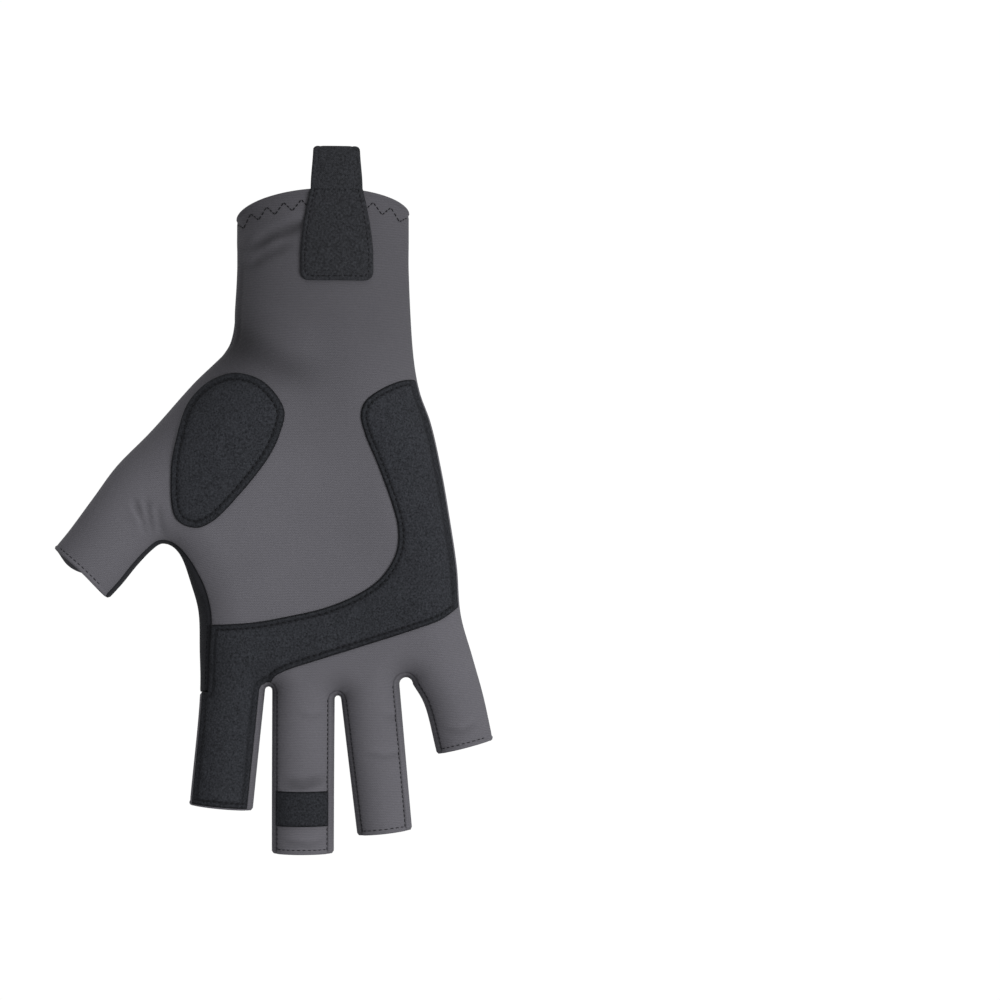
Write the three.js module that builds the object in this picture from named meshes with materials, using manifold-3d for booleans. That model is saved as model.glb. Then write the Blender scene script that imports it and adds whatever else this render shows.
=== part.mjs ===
// A fingerless sun glove for the right hand, in the round shape that a hand gives it.
// Millimetres, +Z up out of the cuff, +X across the palm view, the palm faces -Y.
// The origin is the middle of the wrist opening. The fingers hang down along -Z.
import * as THREE from 'three';
import { mergeVertices } from 'three/addons/utils/BufferGeometryUtils.js';
import Module from 'manifold-3d';

// Cloth
const WALL = 1.2;
const PATCH_THICKNESS = 1.0;
const SEAM_GAP = 0.3;
const LAYER_GAP = 0.3;

// Cuff and wrist
const CUFF_WIDTH = 61.8;
const CUFF_DEPTH = 42;
const CUFF_LENGTH = 46;
const OUTER_WRIST_DROP = 54.4;
const WRIST_WIDTH = 65.4;
const WRIST_DEPTH = 39;
const PALM_RIM_RISE = 8;
const BACK_RIM_RISE = 4;
const RIM_THUMB_DROP = 4;
const RIM_OUTER_DROP = 1.5;

// Hand
const HAND_LENGTH = 175;
const PALM_DEPTH = 31;
const KNUCKLE_DEPTH = 25;
const KNUCKLE_SHIFT = 7;
const THENAR_HEIGHT = 4;
const HEEL_HEIGHT = 2.5;
const HOLLOW_DEPTH = 2.5;
const SWELL_RADIUS = 25;

// Fingers, from the thumb side outwards: shares of the finger width and length, and the lean to +X in degrees
const FINGER_WIDTH = 22.4;
const FINGER_LENGTH = 56.3;
const FINGERS = [
  { width: 1.045, tipWidth: 1.013, length: 0.714, lean: -5.4, baseDrop: 0 },
  { width: 1, tipWidth: 0.991, length: 1, lean: 0, baseDrop: 0 },
  { width: 0.937, tipWidth: 0.88, length: 0.874, lean: 6.2, baseDrop: 0 },
  { width: 0.973, tipWidth: 0.924, length: 0.286, lean: 14.4, baseDrop: 0.13 },
];
const FINGER_DEPTH = 18.4;
const FINGER_CURL = 7;
const CURL_START = 44;

// Slits between the fingers, as shares of the finger width: the round crotch's radius, its height
// over the finger bases, and how much further the next finger stands away
const SLITS = [
  { radius: 0.058, rise: 0.13, flare: 0 },
  { radius: 0.051, rise: -0.013, flare: 0 },
  { radius: 0.107, rise: 0.277, flare: 0.17 },
];
const FLARE_DOWN = 0.28;
const FLARE_SHARE = 0.42;
const FOURCHETTE_INSET = 1.8;

// Thumb
const THUMB_REACH = 85.7;
const THUMB_DROP = 131.3;
const THUMB_WIDTH = 26.4;
const THUMB_DEPTH = 22;
const THUMB_LEAN = 43;
const THUMB_FORWARD = 9;
const THUMB_HEM_BOW = 2.2;
const CROTCH_REACH = 57.5;
const CROTCH_DROP = 120.8;

// Pull tab
const TAB_TOP_WIDTH = 16.2;
const TAB_RIM_WIDTH = 18;
const TAB_BOTTOM_WIDTH = 25.3;
const TAB_LENGTH = 47.6;
const TAB_LOOP_HEIGHT = 15;
const TAB_INNER_LENGTH = 14;
const TAB_THICKNESS = 1.2;
const TAB_CORNER = 3.2;
const TAB_SHIFT = 5.8;
const TAB_SPREAD_SHARE = 0.56;

// Finger band
const BAND_HEIGHT = 12.4;
const BAND_OVER_HEM = 10;
const BAND_SIDE_INSET = 2.2;

// Patches
const PATCH_SIDE_INSET = 0.9;
const PATCH_HEM_INSET = 0.6;

// How deep the hand is down its length: shares of the hand's length, with half the depth there
const DEPTHS = [
  { down: 0, half: CUFF_DEPTH / 2 },
  { down: 0.27, half: WRIST_DEPTH / 2 },
  { down: 0.6, half: PALM_DEPTH / 2 },
  { down: 0.9, half: KNUCKLE_DEPTH / 2 },
  { down: 1.1, half: FINGER_DEPTH / 2 },
];

// Swells and the hollow of the palm: where they lie, as shares of the knuckle row and the hand's length
const PALM_SWELLS = [
  { across: -0.3, down: 0.54, height: THENAR_HEIGHT },
  { across: 0.3, down: 0.52, height: HEEL_HEIGHT },
  { across: 0.02, down: 0.68, height: -HOLLOW_DEPTH },
];

// How far in from a side line the cloth has rounded to its full depth
const CUFF_ROUND = 30;
const PALM_SIDE_ROUND = 17;
const CROTCH_ROUND = 14;
const FINGER_ROUND_SHARE = 0.5;

// Side lines between two corners: shares of the way across and down, and from one rounding to the other
const THUMB_SIDE = [
  { across: 0.042, down: 0.077, round: 0.18 },
  { across: 0.226, down: 0.231, round: 0.42 },
  { across: 0.471, down: 0.458, round: 0.71 },
  { across: 0.655, down: 0.618, round: 0.89 },
  { across: 0.781, down: 0.765, round: 0.98 },
  { across: 0.924, down: 0.925, round: 1 },
];
const OUTER_SIDE = [
  { across: 0.839, down: 0.882, round: 0.89 },
  { across: 0.679, down: 0.763, round: 0.73 },
  { across: 0.622, down: 0.618, round: 0.52 },
  { across: 0.522, down: 0.478, round: 0.37 },
  { across: 0.406, down: 0.338, round: 0.31 },
  { across: 0.245, down: 0.19, round: 0.26 },
  { across: 0.088, down: 0.099, round: 0.16 },
];
const THUMB_UNDERSIDE = [
  { across: 0.26, down: 0.27, round: 0 },
  { across: 0.54, down: 0.6, round: 0 },
  { across: 0.82, down: 0.88, round: 0.4 },
];
const WEB_SIDE = [
  { across: 0.24, down: 0.01, round: 0 },
  { across: 0.42, down: 0.048, round: 0.17 },
  { across: 0.56, down: 0.108, round: 0.33 },
  { across: 0.75, down: 0.265, round: 0.83 },
  { across: 0.94, down: 0.46, round: 1 },
  { across: 0.98, down: 0.72, round: 0.17 },
];

// Thumb gusset: how far its front and back seams lie in from the side line, along its length.
const GUSSET_SEAMS = [
  { along: 0, front: 1, back: 12 },
  { along: 0.15, front: 1, back: 13.5 },
  { along: 0.29, front: 1, back: 16.5 },
  { along: 0.36, front: 1.2, back: 14 },
  { along: 0.42, front: 1.9, back: 7.5 },
  { along: 0.48, front: 3.4, back: 3.6 },
  { along: 0.56, front: 4.8, back: 2 },
  { along: 0.7, front: 5, back: 1.2 },
  { along: 1, front: 3.4, back: 1 },
];
const GUSSET_TAPER_START = 0.96;
const GUSSET_END_SHARE = 0.9;

// Palm patch: its free edges, as shares of the knuckle row's width and of the hand's length
const PATCH_INNER_EDGE = [
  { across: 0.338, down: 0.354 },
  { across: 0.28, down: 0.358 },
  { across: 0.202, down: 0.379 },
  { across: 0.155, down: 0.402 },
  { across: 0.141, down: 0.427 },
  { across: 0.155, down: 0.465 },
  { across: 0.202, down: 0.532 },
  { across: 0.249, down: 0.609 },
  { across: 0.268, down: 0.653 },
  { across: 0.268, down: 0.694 },
  { across: 0.249, down: 0.726 },
  { across: 0.202, down: 0.763 },
  { across: 0.124, down: 0.794 },
  { across: 0.016, down: 0.82 },
  { across: -0.109, down: 0.837 },
  { across: -0.224, down: 0.849 },
  { across: -0.364, down: 0.855 },
  { across: -0.473, down: 0.856 },
];
const PATCH_LOWER_EDGE = [
  { across: -0.211, down: 1.024 },
  { across: -0.202, down: 0.994 },
  { across: -0.181, down: 0.977 },
  { across: -0.162, down: 0.96 },
  { across: -0.124, down: 0.948 },
  { across: -0.03, down: 0.93 },
  { across: 0.124, down: 0.902 },
  { across: 0.318, down: 0.866 },
  { across: 0.42, down: 0.844 },
  { across: 0.467, down: 0.824 },
  { across: 0.53, down: 0.792 },
];
const THENAR_OUTLINE = [
  { across: -0.293, down: 0.343 },
  { across: -0.197, down: 0.361 },
  { across: -0.125, down: 0.418 },
  { across: -0.141, down: 0.468 },
  { across: -0.178, down: 0.513 },
  { across: -0.269, down: 0.582 },
  { across: -0.377, down: 0.645 },
  { across: -0.435, down: 0.657 },
  { across: -0.501, down: 0.637 },
  { across: -0.518, down: 0.541 },
  { across: -0.501, down: 0.478 },
  { across: -0.466, down: 0.408 },
  { across: -0.418, down: 0.373 },
  { across: -0.369, down: 0.354 },
];

// Where the thumb's facets leave the hand's, as a share of the way from the wrist to the thumb's end
const THUMB_ROOT_SHARE = 0.46;

// Fineness of the facets
const FINGER_COLUMNS = 6;
const FINGER_ROWS = 6;
const THUMB_ROWS = 8;
const THUMB_COLUMNS = 7;
const UPPER_ROWS = 8;
const WEB_STATIONS = 7;
const TAB_COLUMNS = 6;
const TAB_CORNER_STEPS = 3;
const TAB_FRONT_STEPS = 7;
const TAB_BACK_STEPS = 5;
const CROTCH_STEPS = 12;
const FOLD_STEPS = 6;
const SIDE_EDGE_STEPS = 10;
const INNER_EDGE_STEPS = 40;
const LOWER_EDGE_STEPS = 24;
const THENAR_STEPS = 36;
const CURVE_STEP = 0.6;
const SLOPE_STEP = 0.05;

const CLOTH_GREY = 0x5c5b60;
const SUEDE_BLACK = 0x2a2c30;
const MESH_BLACK = 0x1d1e22;
const STRAP_BLACK = 0x2f3033;

const wasm = await Module();
wasm.setup();

const lerp = THREE.MathUtils.lerp;
const radians = THREE.MathUtils.degToRad;

// Runs smoothly from 0 to 1 as the value goes from one end to the other
function ease(from, to, value) {
  const share = THREE.MathUtils.clamp((value - from) / (to - from), 0, 1);
  return share * share * (3 - 2 * share);
}

// Corners, as points of the palm view: x across, y up

const slitGap = (slit) => (2 * slit.radius + slit.flare) * FINGER_WIDTH;
const total = (values) => values.reduce((sum, value) => sum + value, 0);
const knuckleSpan = total(FINGERS.map((finger) => finger.width * FINGER_WIDTH)) + total(SLITS.map(slitGap));

function fingerCorners() {
  let left = KNUCKLE_SHIFT - knuckleSpan / 2;
  return FINGERS.map((finger, k) => {
    const angle = radians(finger.lean);
    const width = finger.width * FINGER_WIDTH;
    const tipWidth = finger.tipWidth * FINGER_WIDTH;
    const along = new THREE.Vector2(Math.sin(angle), -Math.cos(angle));
    const across = new THREE.Vector2(Math.cos(angle), Math.sin(angle));
    const base = new THREE.Vector2(left + width / 2, -HAND_LENGTH - finger.baseDrop * FINGER_WIDTH);
    const tip = base.clone().addScaledVector(along, finger.length * FINGER_LENGTH);
    left += width + (k < SLITS.length ? slitGap(SLITS[k]) : 0);
    return {
      baseLeft: base.clone().addScaledVector(across, -width / 2),
      baseRight: base.clone().addScaledVector(across, width / 2),
      tipLeft: tip.clone().addScaledVector(across, -tipWidth / 2),
      tipRight: tip.clone().addScaledVector(across, tipWidth / 2),
      round: width * FINGER_ROUND_SHARE,
    };
  });
}

const fingers = fingerCorners();
const [indexFinger, littleFinger] = [fingers[0], fingers[fingers.length - 1]];
const thumbAlong = new THREE.Vector2(-Math.sin(radians(THUMB_LEAN)), -Math.cos(radians(THUMB_LEAN)));
const thumbAcross = new THREE.Vector2(-thumbAlong.y, thumbAlong.x);
const thumbTip = new THREE.Vector2(-THUMB_REACH, -THUMB_DROP);
const thumbUpperCorner = thumbTip.clone().addScaledVector(thumbAcross, -THUMB_WIDTH / 2);
const thumbLowerCorner = thumbTip.clone().addScaledVector(thumbAcross, THUMB_WIDTH / 2);
const crotch = new THREE.Vector2(-CROTCH_REACH, -CROTCH_DROP);
const rimTop = PALM_RIM_RISE - (RIM_THUMB_DROP + RIM_OUTER_DROP) / 2;
const tabTop = TAB_LOOP_HEIGHT + rimTop;
const surfaceTop = tabTop + TAB_THICKNESS;

// A side line of the glove, walked with the cloth on its left. Each point's y holds the rounding radius.
class SideLine {
  constructor(corners) {
    this.points = corners;
    this.lengths = [0];
    for (let i = 1; i < corners.length; i++) {
      const step = Math.hypot(corners[i].x - corners[i - 1].x, corners[i].z - corners[i - 1].z);
      this.lengths.push(this.lengths[i - 1] + step);
    }
    this.total = this.lengths[corners.length - 1];
  }

  pointAt(length) {
    const wanted = THREE.MathUtils.clamp(length, 0, this.total);
    let i = 1;
    while (i < this.lengths.length - 1 && this.lengths[i] < wanted) i++;
    const share = (wanted - this.lengths[i - 1]) / (this.lengths[i] - this.lengths[i - 1]);
    return this.points[i - 1].clone().lerp(this.points[i], share);
  }

  // The point that lies the inset distance in from the line, at this length along it
  inset(length, distance) {
    const here = this.pointAt(length);
    const before = this.pointAt(length - CURVE_STEP);
    const after = this.pointAt(length + CURVE_STEP);
    const run = new THREE.Vector2(after.x - before.x, after.z - before.z).normalize();
    return new THREE.Vector2(here.x - run.y * distance, here.z + run.x * distance);
  }

  // Distance from the line, positive on the cloth, with the rounding radius and the length along it there
  nearest(x, z) {
    let best = { square: Infinity };
    for (let i = 1; i < this.points.length; i++) {
      const [a, b] = [this.points[i - 1], this.points[i]];
      const [dx, dz] = [b.x - a.x, b.z - a.z];
      const raw = ((x - a.x) * dx + (z - a.z) * dz) / (dx * dx + dz * dz);
      const share = THREE.MathUtils.clamp(raw, 0, 1);
      const [ox, oz] = [x - a.x - dx * share, z - a.z - dz * share];
      const square = ox * ox + oz * oz;
      if (square < best.square - 1e-9) {
        best = { square, share, i, side: dx * (z - a.z) - dz * (x - a.x) };
      }
    }
    const { share, i } = best;
    return {
      distance: Math.sign(best.side) * Math.sqrt(best.square),
      round: lerp(this.points[i - 1].y, this.points[i].y, share),
      length: lerp(this.lengths[i - 1], this.lengths[i], share),
    };
  }
}

const corner = (point, round) => new THREE.Vector3(point.x, round, point.y);

function between(from, to, table) {
  return table.map(({ across, down, round }) =>
    new THREE.Vector3(lerp(from.x, to.x, across), lerp(from.y, to.y, round), lerp(from.z, to.z, down)));
}

function smoothLine(corners) {
  const curve = new THREE.CatmullRomCurve3(corners, false, 'centripetal');
  return new SideLine(curve.getSpacedPoints(Math.ceil(curve.getLength() / (2 * CURVE_STEP))));
}

function thumbSideLine() {
  const edge = -CUFF_WIDTH / 2;
  const wrist = new THREE.Vector3(-WRIST_WIDTH / 2, CUFF_ROUND, -CUFF_LENGTH);
  const thumb = corner(thumbUpperCorner, THUMB_WIDTH / 2);
  return smoothLine([
    new THREE.Vector3(edge, CUFF_ROUND, surfaceTop),
    new THREE.Vector3(edge, CUFF_ROUND, -CUFF_LENGTH * 0.25),
    new THREE.Vector3(edge, CUFF_ROUND, -CUFF_LENGTH * 0.5),
    wrist,
    ...between(wrist, thumb, THUMB_SIDE),
    thumb,
  ]);
}

function outerSideLine() {
  const edge = CUFF_WIDTH / 2;
  const wrist = new THREE.Vector3(WRIST_WIDTH / 2, CUFF_ROUND, -OUTER_WRIST_DROP);
  const finger = corner(littleFinger.baseRight, littleFinger.round);
  return smoothLine([
    corner(littleFinger.tipRight, littleFinger.round),
    finger,
    ...between(wrist, finger, OUTER_SIDE),
    wrist,
    new THREE.Vector3(edge, CUFF_ROUND, -CUFF_LENGTH * 0.5),
    new THREE.Vector3(edge, CUFF_ROUND, -CUFF_LENGTH * 0.25),
    new THREE.Vector3(edge, CUFF_ROUND, surfaceTop),
  ]);
}

function webLine() {
  const thumb = corner(thumbLowerCorner, THUMB_WIDTH / 2);
  const middle = corner(crotch, CROTCH_ROUND);
  const finger = corner(indexFinger.baseLeft, indexFinger.round);
  return smoothLine([
    thumb,
    ...between(thumb, middle, THUMB_UNDERSIDE),
    middle,
    ...between(middle, { ...finger, y: PALM_SIDE_ROUND }, WEB_SIDE),
    finger,
    corner(indexFinger.tipLeft, indexFinger.round),
  ]);
}

// A slit: down side, round crotch, down side
function slitLine(k) {
  const [left, right, slit] = [fingers[k], fingers[k + 1], SLITS[k]];
  const radius = slit.radius * FINGER_WIDTH;
  const apex = -HAND_LENGTH + slit.rise * FINGER_WIDTH;
  const centre = new THREE.Vector2(left.baseRight.x + radius, apex - radius);
  const points = [corner(left.tipRight, left.round)];
  for (let i = 0; i <= CROTCH_STEPS; i++) {
    const angle = Math.PI * (1 - i / CROTCH_STEPS);
    const round = lerp(left.round, right.round, i / CROTCH_STEPS);
    points.push(new THREE.Vector3(
      centre.x + radius * Math.cos(angle), round, centre.y + radius * Math.sin(angle)));
  }
  const flared = points[points.length - 1].clone().lerp(corner(right.tipLeft, right.round), FLARE_DOWN);
  flared.x += slit.flare * FINGER_WIDTH * FLARE_SHARE;
  points.push(flared, corner(right.tipLeft, right.round));
  const line = new SideLine(points);
  line.crotchStart = line.lengths[1];
  line.crotchEnd = line.lengths[1 + CROTCH_STEPS];
  return line;
}

const thumbSide = thumbSideLine();
const outerSide = outerSideLine();
const web = webLine();
const slits = SLITS.map((_, k) => slitLine(k));
const sideLines = [thumbSide, web, ...slits, outerSide];

// Depth of the hand at a point of the palm view

function handHalfDepth(z) {
  const down = THREE.MathUtils.clamp(-z / HAND_LENGTH, 0, DEPTHS[DEPTHS.length - 1].down);
  const k = Math.max(1, DEPTHS.findIndex((row) => row.down >= down));
  const [above, below] = [DEPTHS[k - 1], DEPTHS[k]];
  return lerp(above.half, below.half, ease(above.down, below.down, down));
}

// 1 at the thumb's end, 0 over the palm
function thumbShare(x, z) {
  const [ox, oz] = [x + THUMB_REACH, z + THUMB_DROP];
  const widthsBack = -(ox * thumbAlong.x + oz * thumbAlong.y) / THUMB_WIDTH;
  const widthsAside = Math.abs(ox * thumbAcross.x + oz * thumbAcross.y) / THUMB_WIDTH;
  return ease(2.4, 0.6, widthsBack) * ease(1.5, 0.55, widthsAside);
}

function swell(x, z, { across, down, height }) {
  const [ox, oz] = [x - across * knuckleSpan, z + down * HAND_LENGTH];
  return height * Math.exp(-(ox * ox + oz * oz) / SWELL_RADIUS ** 2);
}

function halfDepth(x, z, face) {
  const plain = lerp(handHalfDepth(z), THUMB_DEPTH / 2, thumbShare(x, z));
  return face === 'back' ? plain : plain + total(PALM_SWELLS.map((row) => swell(x, z, row)));
}

function middlePlane(x, z) {
  const curl = FINGER_CURL * ease(CURL_START - HAND_LENGTH, -HAND_LENGTH - FINGER_LENGTH, z);
  return -curl - THUMB_FORWARD * thumbShare(x, z);
}

// Square of the rounded depth: it falls to nothing at each side line with a finite slope
function depthSquare(x, z, face) {
  let square = halfDepth(x, z, face) ** 2;
  for (const line of sideLines) {
    const { distance, round } = line.nearest(x, z);
    const share = Math.min(1, distance / round);
    square *= 2 * share - share * share;
  }
  return square;
}

// Point and outward normal of the glove's outer surface over a point of the palm view
function surface(point, face) {
  const [x, z] = [point.x, point.y];
  const sign = face === 'front' ? -1 : 1;
  const depth = Math.sqrt(Math.max(0, depthSquare(x, z, face)));
  const slope = (f) => [
    (f(x + SLOPE_STEP, z) - f(x - SLOPE_STEP, z)) / (2 * SLOPE_STEP),
    (f(x, z + SLOPE_STEP) - f(x, z - SLOPE_STEP)) / (2 * SLOPE_STEP),
  ];
  const [squareX, squareZ] = slope((a, b) => depthSquare(a, b, face));
  const [middleX, middleZ] = slope(middlePlane);
  const lean = 2 * sign * depth;
  const normal = new THREE.Vector3(-squareX - lean * middleX, lean, -squareZ - lean * middleZ).normalize();
  return { point: new THREE.Vector3(x, middlePlane(x, z) + sign * depth, z), normal };
}

// Cloth pieces: nodes on the surface and four-sided cells between them

class ClothSheet {
  constructor() {
    this.nodes = [];
    this.cells = [];
    this.known = new Map();
  }

  node(point, face, seam = false) {
    const key = [point.x.toFixed(4), point.y.toFixed(4), face].join();
    if (!this.known.has(key)) {
      this.known.set(key, this.nodes.length);
      this.nodes.push({ ...surface(point, face), seam: false });
    }
    const index = this.known.get(key);
    if (seam) this.nodes[index].seam = true;
    return index;
  }

  // A grid of node numbers, row by row, becomes cells
  addGrid(grid) {
    for (let r = 1; r < grid.length; r++) {
      for (let c = 1; c < grid[r].length; c++) {
        this.cells.push([grid[r - 1][c - 1], grid[r - 1][c], grid[r][c], grid[r][c - 1]]);
      }
    }
  }

  faceNormal([a, b, c, d]) {
    const diagonal = this.nodes[c].point.clone().sub(this.nodes[a].point);
    return diagonal.cross(this.nodes[d].point.clone().sub(this.nodes[b].point));
  }

  // Turns the cells so that they face out, and finds the edges that only one cell has
  finish() {
    const outward = total(this.cells.map((cell) => this.faceNormal(cell).dot(this.nodes[cell[0]].normal)));
    if (outward < 0) this.cells = this.cells.map((cell) => [...cell].reverse());
    const uses = new Map();
    for (const cell of this.cells) {
      cell.forEach((from, i) => {
        const to = cell[(i + 1) % cell.length];
        if (from !== to) uses.set(`${from}>${to}`, { from, to, cell });
      });
    }
    this.rim = [...uses.values()].filter(({ from, to }) => !uses.has(`${to}>${from}`));
    this.pullSeams();
  }

  // Half the seam gap, along the cloth and away from the seam
  pullSeams() {
    const runs = new Map();
    for (const { from, to } of this.rim) {
      if (!this.nodes[from].seam || !this.nodes[to].seam) continue;
      const run = this.nodes[to].point.clone().sub(this.nodes[from].point).normalize();
      for (const i of [from, to]) runs.set(i, (runs.get(i) ?? new THREE.Vector3()).add(run));
    }
    this.nodes.forEach((node, i) => {
      if (!runs.has(i)) return;
      const inward = node.normal.clone().cross(runs.get(i)).normalize();
      node.point.addScaledVector(inward, SEAM_GAP / 2);
    });
  }

  // A closed solid between two distances out from the surface
  solid(low, high) {
    const count = this.nodes.length;
    const positions = [];
    for (const distance of [high, low]) {
      for (const { point, normal } of this.nodes) {
        positions.push(...point.clone().addScaledVector(normal, distance).toArray());
      }
    }
    const triangles = [];
    for (const [a, b, c, d] of this.cells) {
      triangles.push(a, b, c, a, c, d);
      triangles.push(count + a, count + c, count + b, count + a, count + d, count + c);
    }
    for (const { from, to } of this.rim) {
      triangles.push(from, count + from, count + to, from, count + to, to);
    }
    const geometry = new THREE.BufferGeometry();
    geometry.setAttribute('position', new THREE.Float32BufferAttribute(positions, 3));
    geometry.setIndex(triangles);
    return geometry;
  }
}

// Shares of the way along: even, or closer together near both ends
const evenShares = (count) => Array.from({ length: count + 1 }, (_, i) => i / count);
const roundedShares = (count) => evenShares(count).map((share) => (1 - Math.cos(Math.PI * share)) / 2);

// Seam insets of the thumb gusset at a length along the web line
const gussetEnd = web.nearest(indexFinger.baseLeft.x, indexFinger.baseLeft.y).length;
const crotchLength = web.nearest(crotch.x, crotch.y).length;

function gussetInset(length, side) {
  const along = length / gussetEnd;
  if (along > 1) return 0;
  const k = Math.max(1, GUSSET_SEAMS.findIndex((row) => row.along >= along));
  const [before, after] = [GUSSET_SEAMS[k - 1], GUSSET_SEAMS[k]];
  const inset = lerp(before[side], after[side], ease(before.along, after.along, along));
  return inset * Math.min(1, (1 - along) / (1 - GUSSET_TAPER_START));
}

// Lengths along the web line where the panels and the gusset share a seam point
const thumbStations = evenShares(THUMB_ROWS).map((share) => crotchLength * (1 - share));
const webStations = [
  ...evenShares(WEB_STATIONS).map((share) => lerp(crotchLength, gussetEnd * GUSSET_TAPER_START, share)),
  gussetEnd * lerp(GUSSET_TAPER_START, 1, GUSSET_END_SHARE),
  gussetEnd,
];

// Stations along a slit, from its crotch to the fingertip on each side
function slitStations(line, side) {
  const start = (line.crotchStart + line.crotchEnd) / 2;
  const [end, tip] = side === 'left' ? [line.crotchStart, 0] : [line.crotchEnd, line.total];
  return [start, (start + end) / 2, ...evenShares(FINGER_ROWS).map((share) => lerp(end, tip, share))];
}

// Stations along a finger's outer side, matched to the stations in the slit beside it
function openSideStations(from, to) {
  const crotchShare = 0.06;
  return [from, lerp(from, to, crotchShare / 2),
    ...evenShares(FINGER_ROWS).map((share) => lerp(from, to, lerp(crotchShare, 1, share)))];
}

const littleBaseLength = outerSide.nearest(littleFinger.baseRight.x, littleFinger.baseRight.y).length;
const outerRimLength = outerSide.total - surfaceTop - RIM_OUTER_DROP;
const thumbRimLength = surfaceTop + RIM_THUMB_DROP;

// Points down the left and right of each finger, front or back
function fingerSides(k, face) {
  const insetPoints = (line, stations, distance) => stations.map((length) => line.inset(length, distance));
  const left = k === 0
    ? insetPoints(web, openSideStations(gussetEnd, web.total), 0)
    : insetPoints(slits[k - 1], slitStations(slits[k - 1], 'right'), FOURCHETTE_INSET);
  const right = k === slits.length
    ? insetPoints(outerSide, openSideStations(littleBaseLength, 0), 0)
    : insetPoints(slits[k], slitStations(slits[k], 'left'), FOURCHETTE_INSET);
  return { left, right };
}

// The front or back panel: hand, thumb root and four fingers in one cloth
function panelSheet(face) {
  const sheet = new ClothSheet();
  const columns = roundedShares(FINGER_COLUMNS);
  const bottom = [];
  fingers.forEach((_, k) => {
    const { left, right } = fingerSides(k, face);
    const grid = left.map((from, r) => columns.map((share, c) => {
      const seam = c === 0 || c === FINGER_COLUMNS;
      return { point: from.clone().lerp(right[r], share), seam };
    }));
    bottom.push(...grid[0].slice(k === 0 ? 0 : 1));
    sheet.addGrid(grid.map((row) => row.map(({ point, seam }) => sheet.node(point, face, seam))));
  });

  const thumbGrid = thumbCells(face);
  sheet.addGrid(thumbGrid.map((row, r) => row.map((point, c) => {
    const seam = c === 0 || c === row.length - 1;
    return sheet.node(point, face, seam);
  })));

  const left = [
    ...upperThumbSide().slice(0, -1),
    ...thumbGrid[0].slice(0, -1),
    ...webStations.map((length) => web.inset(length, gussetInset(length, face))),
  ];
  const firstWeb = UPPER_ROWS + THUMB_COLUMNS;
  const [topZ, bottomZ] = [left[0].y, left[left.length - 1].y];
  const downs = left.map((point) => (point.y - topZ) / (bottomZ - topZ));
  const right = downs.map((down) => outerSide.inset(lerp(outerRimLength, littleBaseLength, down), 0));
  const top = rimRow(bottom.length, face);
  const [firstLow, lastLow] = [bottom[0].point, bottom[bottom.length - 1].point];
  const grid = left.map((from, r) => bottom.map((low, c) => {
    const down = downs[r];
    const topShare = (top[c].x - top[0].x) / (top[top.length - 1].x - top[0].x);
    const share = lerp(topShare, (low.point.x - firstLow.x) / (lastLow.x - firstLow.x), down);
    const point = ['x', 'y'].map((axis) => {
      const edges = lerp(top[c][axis], low.point[axis], down) + lerp(from[axis], right[r][axis], share);
      const upper = lerp(top[0][axis], top[top.length - 1][axis], share);
      const lower = lerp(firstLow[axis], lastLow[axis], share);
      return edges - lerp(upper, lower, down);
    });
    const root = r > UPPER_ROWS && r < firstWeb;
    const seam = (c === 0 && !root) || c === bottom.length - 1;
    return sheet.node(new THREE.Vector2(...point), face, seam);
  }));
  sheet.addGrid(grid);
  sheet.finish();
  return sheet;
}

const thumbRootLength = thumbSide.nearest(
  lerp(-WRIST_WIDTH / 2, thumbUpperCorner.x, THUMB_ROOT_SHARE),
  lerp(-CUFF_LENGTH, thumbUpperCorner.y, THUMB_ROOT_SHARE)).length;

// Points down the thumb side, from the rim to the top of the thumb's root
function upperThumbSide() {
  return evenShares(UPPER_ROWS)
    .map((share) => thumbSide.inset(lerp(thumbRimLength, thumbRootLength, share), 0));
}

// Points of the thumb, from its root to its hem. A row runs from the upper side to the gusset seam.
function thumbCells(face) {
  const bow = face === 'back' ? THUMB_HEM_BOW : -THUMB_HEM_BOW / 2;
  return thumbStations.map((station, r) => {
    const share = r / THUMB_ROWS;
    const upper = thumbSide.inset(lerp(thumbRootLength, thumbSide.total, share), 0);
    const lower = web.inset(station, gussetInset(station, face));
    return roundedShares(THUMB_COLUMNS).map((across) => upper.clone().lerp(lower, across)
      .addScaledVector(thumbAlong, bow * share ** 4 * Math.sin(Math.PI * across)));
  });
}

// The cuff's rim, arched up in the middle
function rimRow(count, face) {
  const rise = face === 'front' ? PALM_RIM_RISE : BACK_RIM_RISE;
  const [left, right] = [thumbSide.inset(thumbRimLength, 0), outerSide.inset(outerRimLength, 0)];
  return roundedShares(count - 1).map((share, c) => {
    const point = left.clone().lerp(right, lerp(c / (count - 1), share, 0.75));
    const fromMiddle = 2 * (point.x - left.x) / (right.x - left.x) - 1;
    point.y += rise * (1 - fromMiddle ** 2) ** 0.6;
    return point;
  });
}

// A strip round a side line, from a seam on the palm face to a seam on the back
function stripSheet(line, stations, frontInset, backInset, frontSteps, backSteps) {
  const sheet = new ClothSheet();
  const grid = stations.map((length) => {
    const half = (face, steps, inset) =>
      steps.map((share) => sheet.node(line.inset(length, inset * share), face, share === 1));
    return [...half('front', frontSteps, frontInset(length)), ...half('back', backSteps, backInset(length))];
  });
  sheet.addGrid(grid);
  sheet.finish();
  return sheet;
}

function fourchetteSheet(k) {
  const line = slits[k];
  const stations = [...slitStations(line, 'left').reverse(), ...slitStations(line, 'right').slice(1)];
  const inset = () => FOURCHETTE_INSET;
  return stripSheet(line, stations, inset, inset, [1, 0.35, 0], [0.35, 1]);
}

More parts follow.
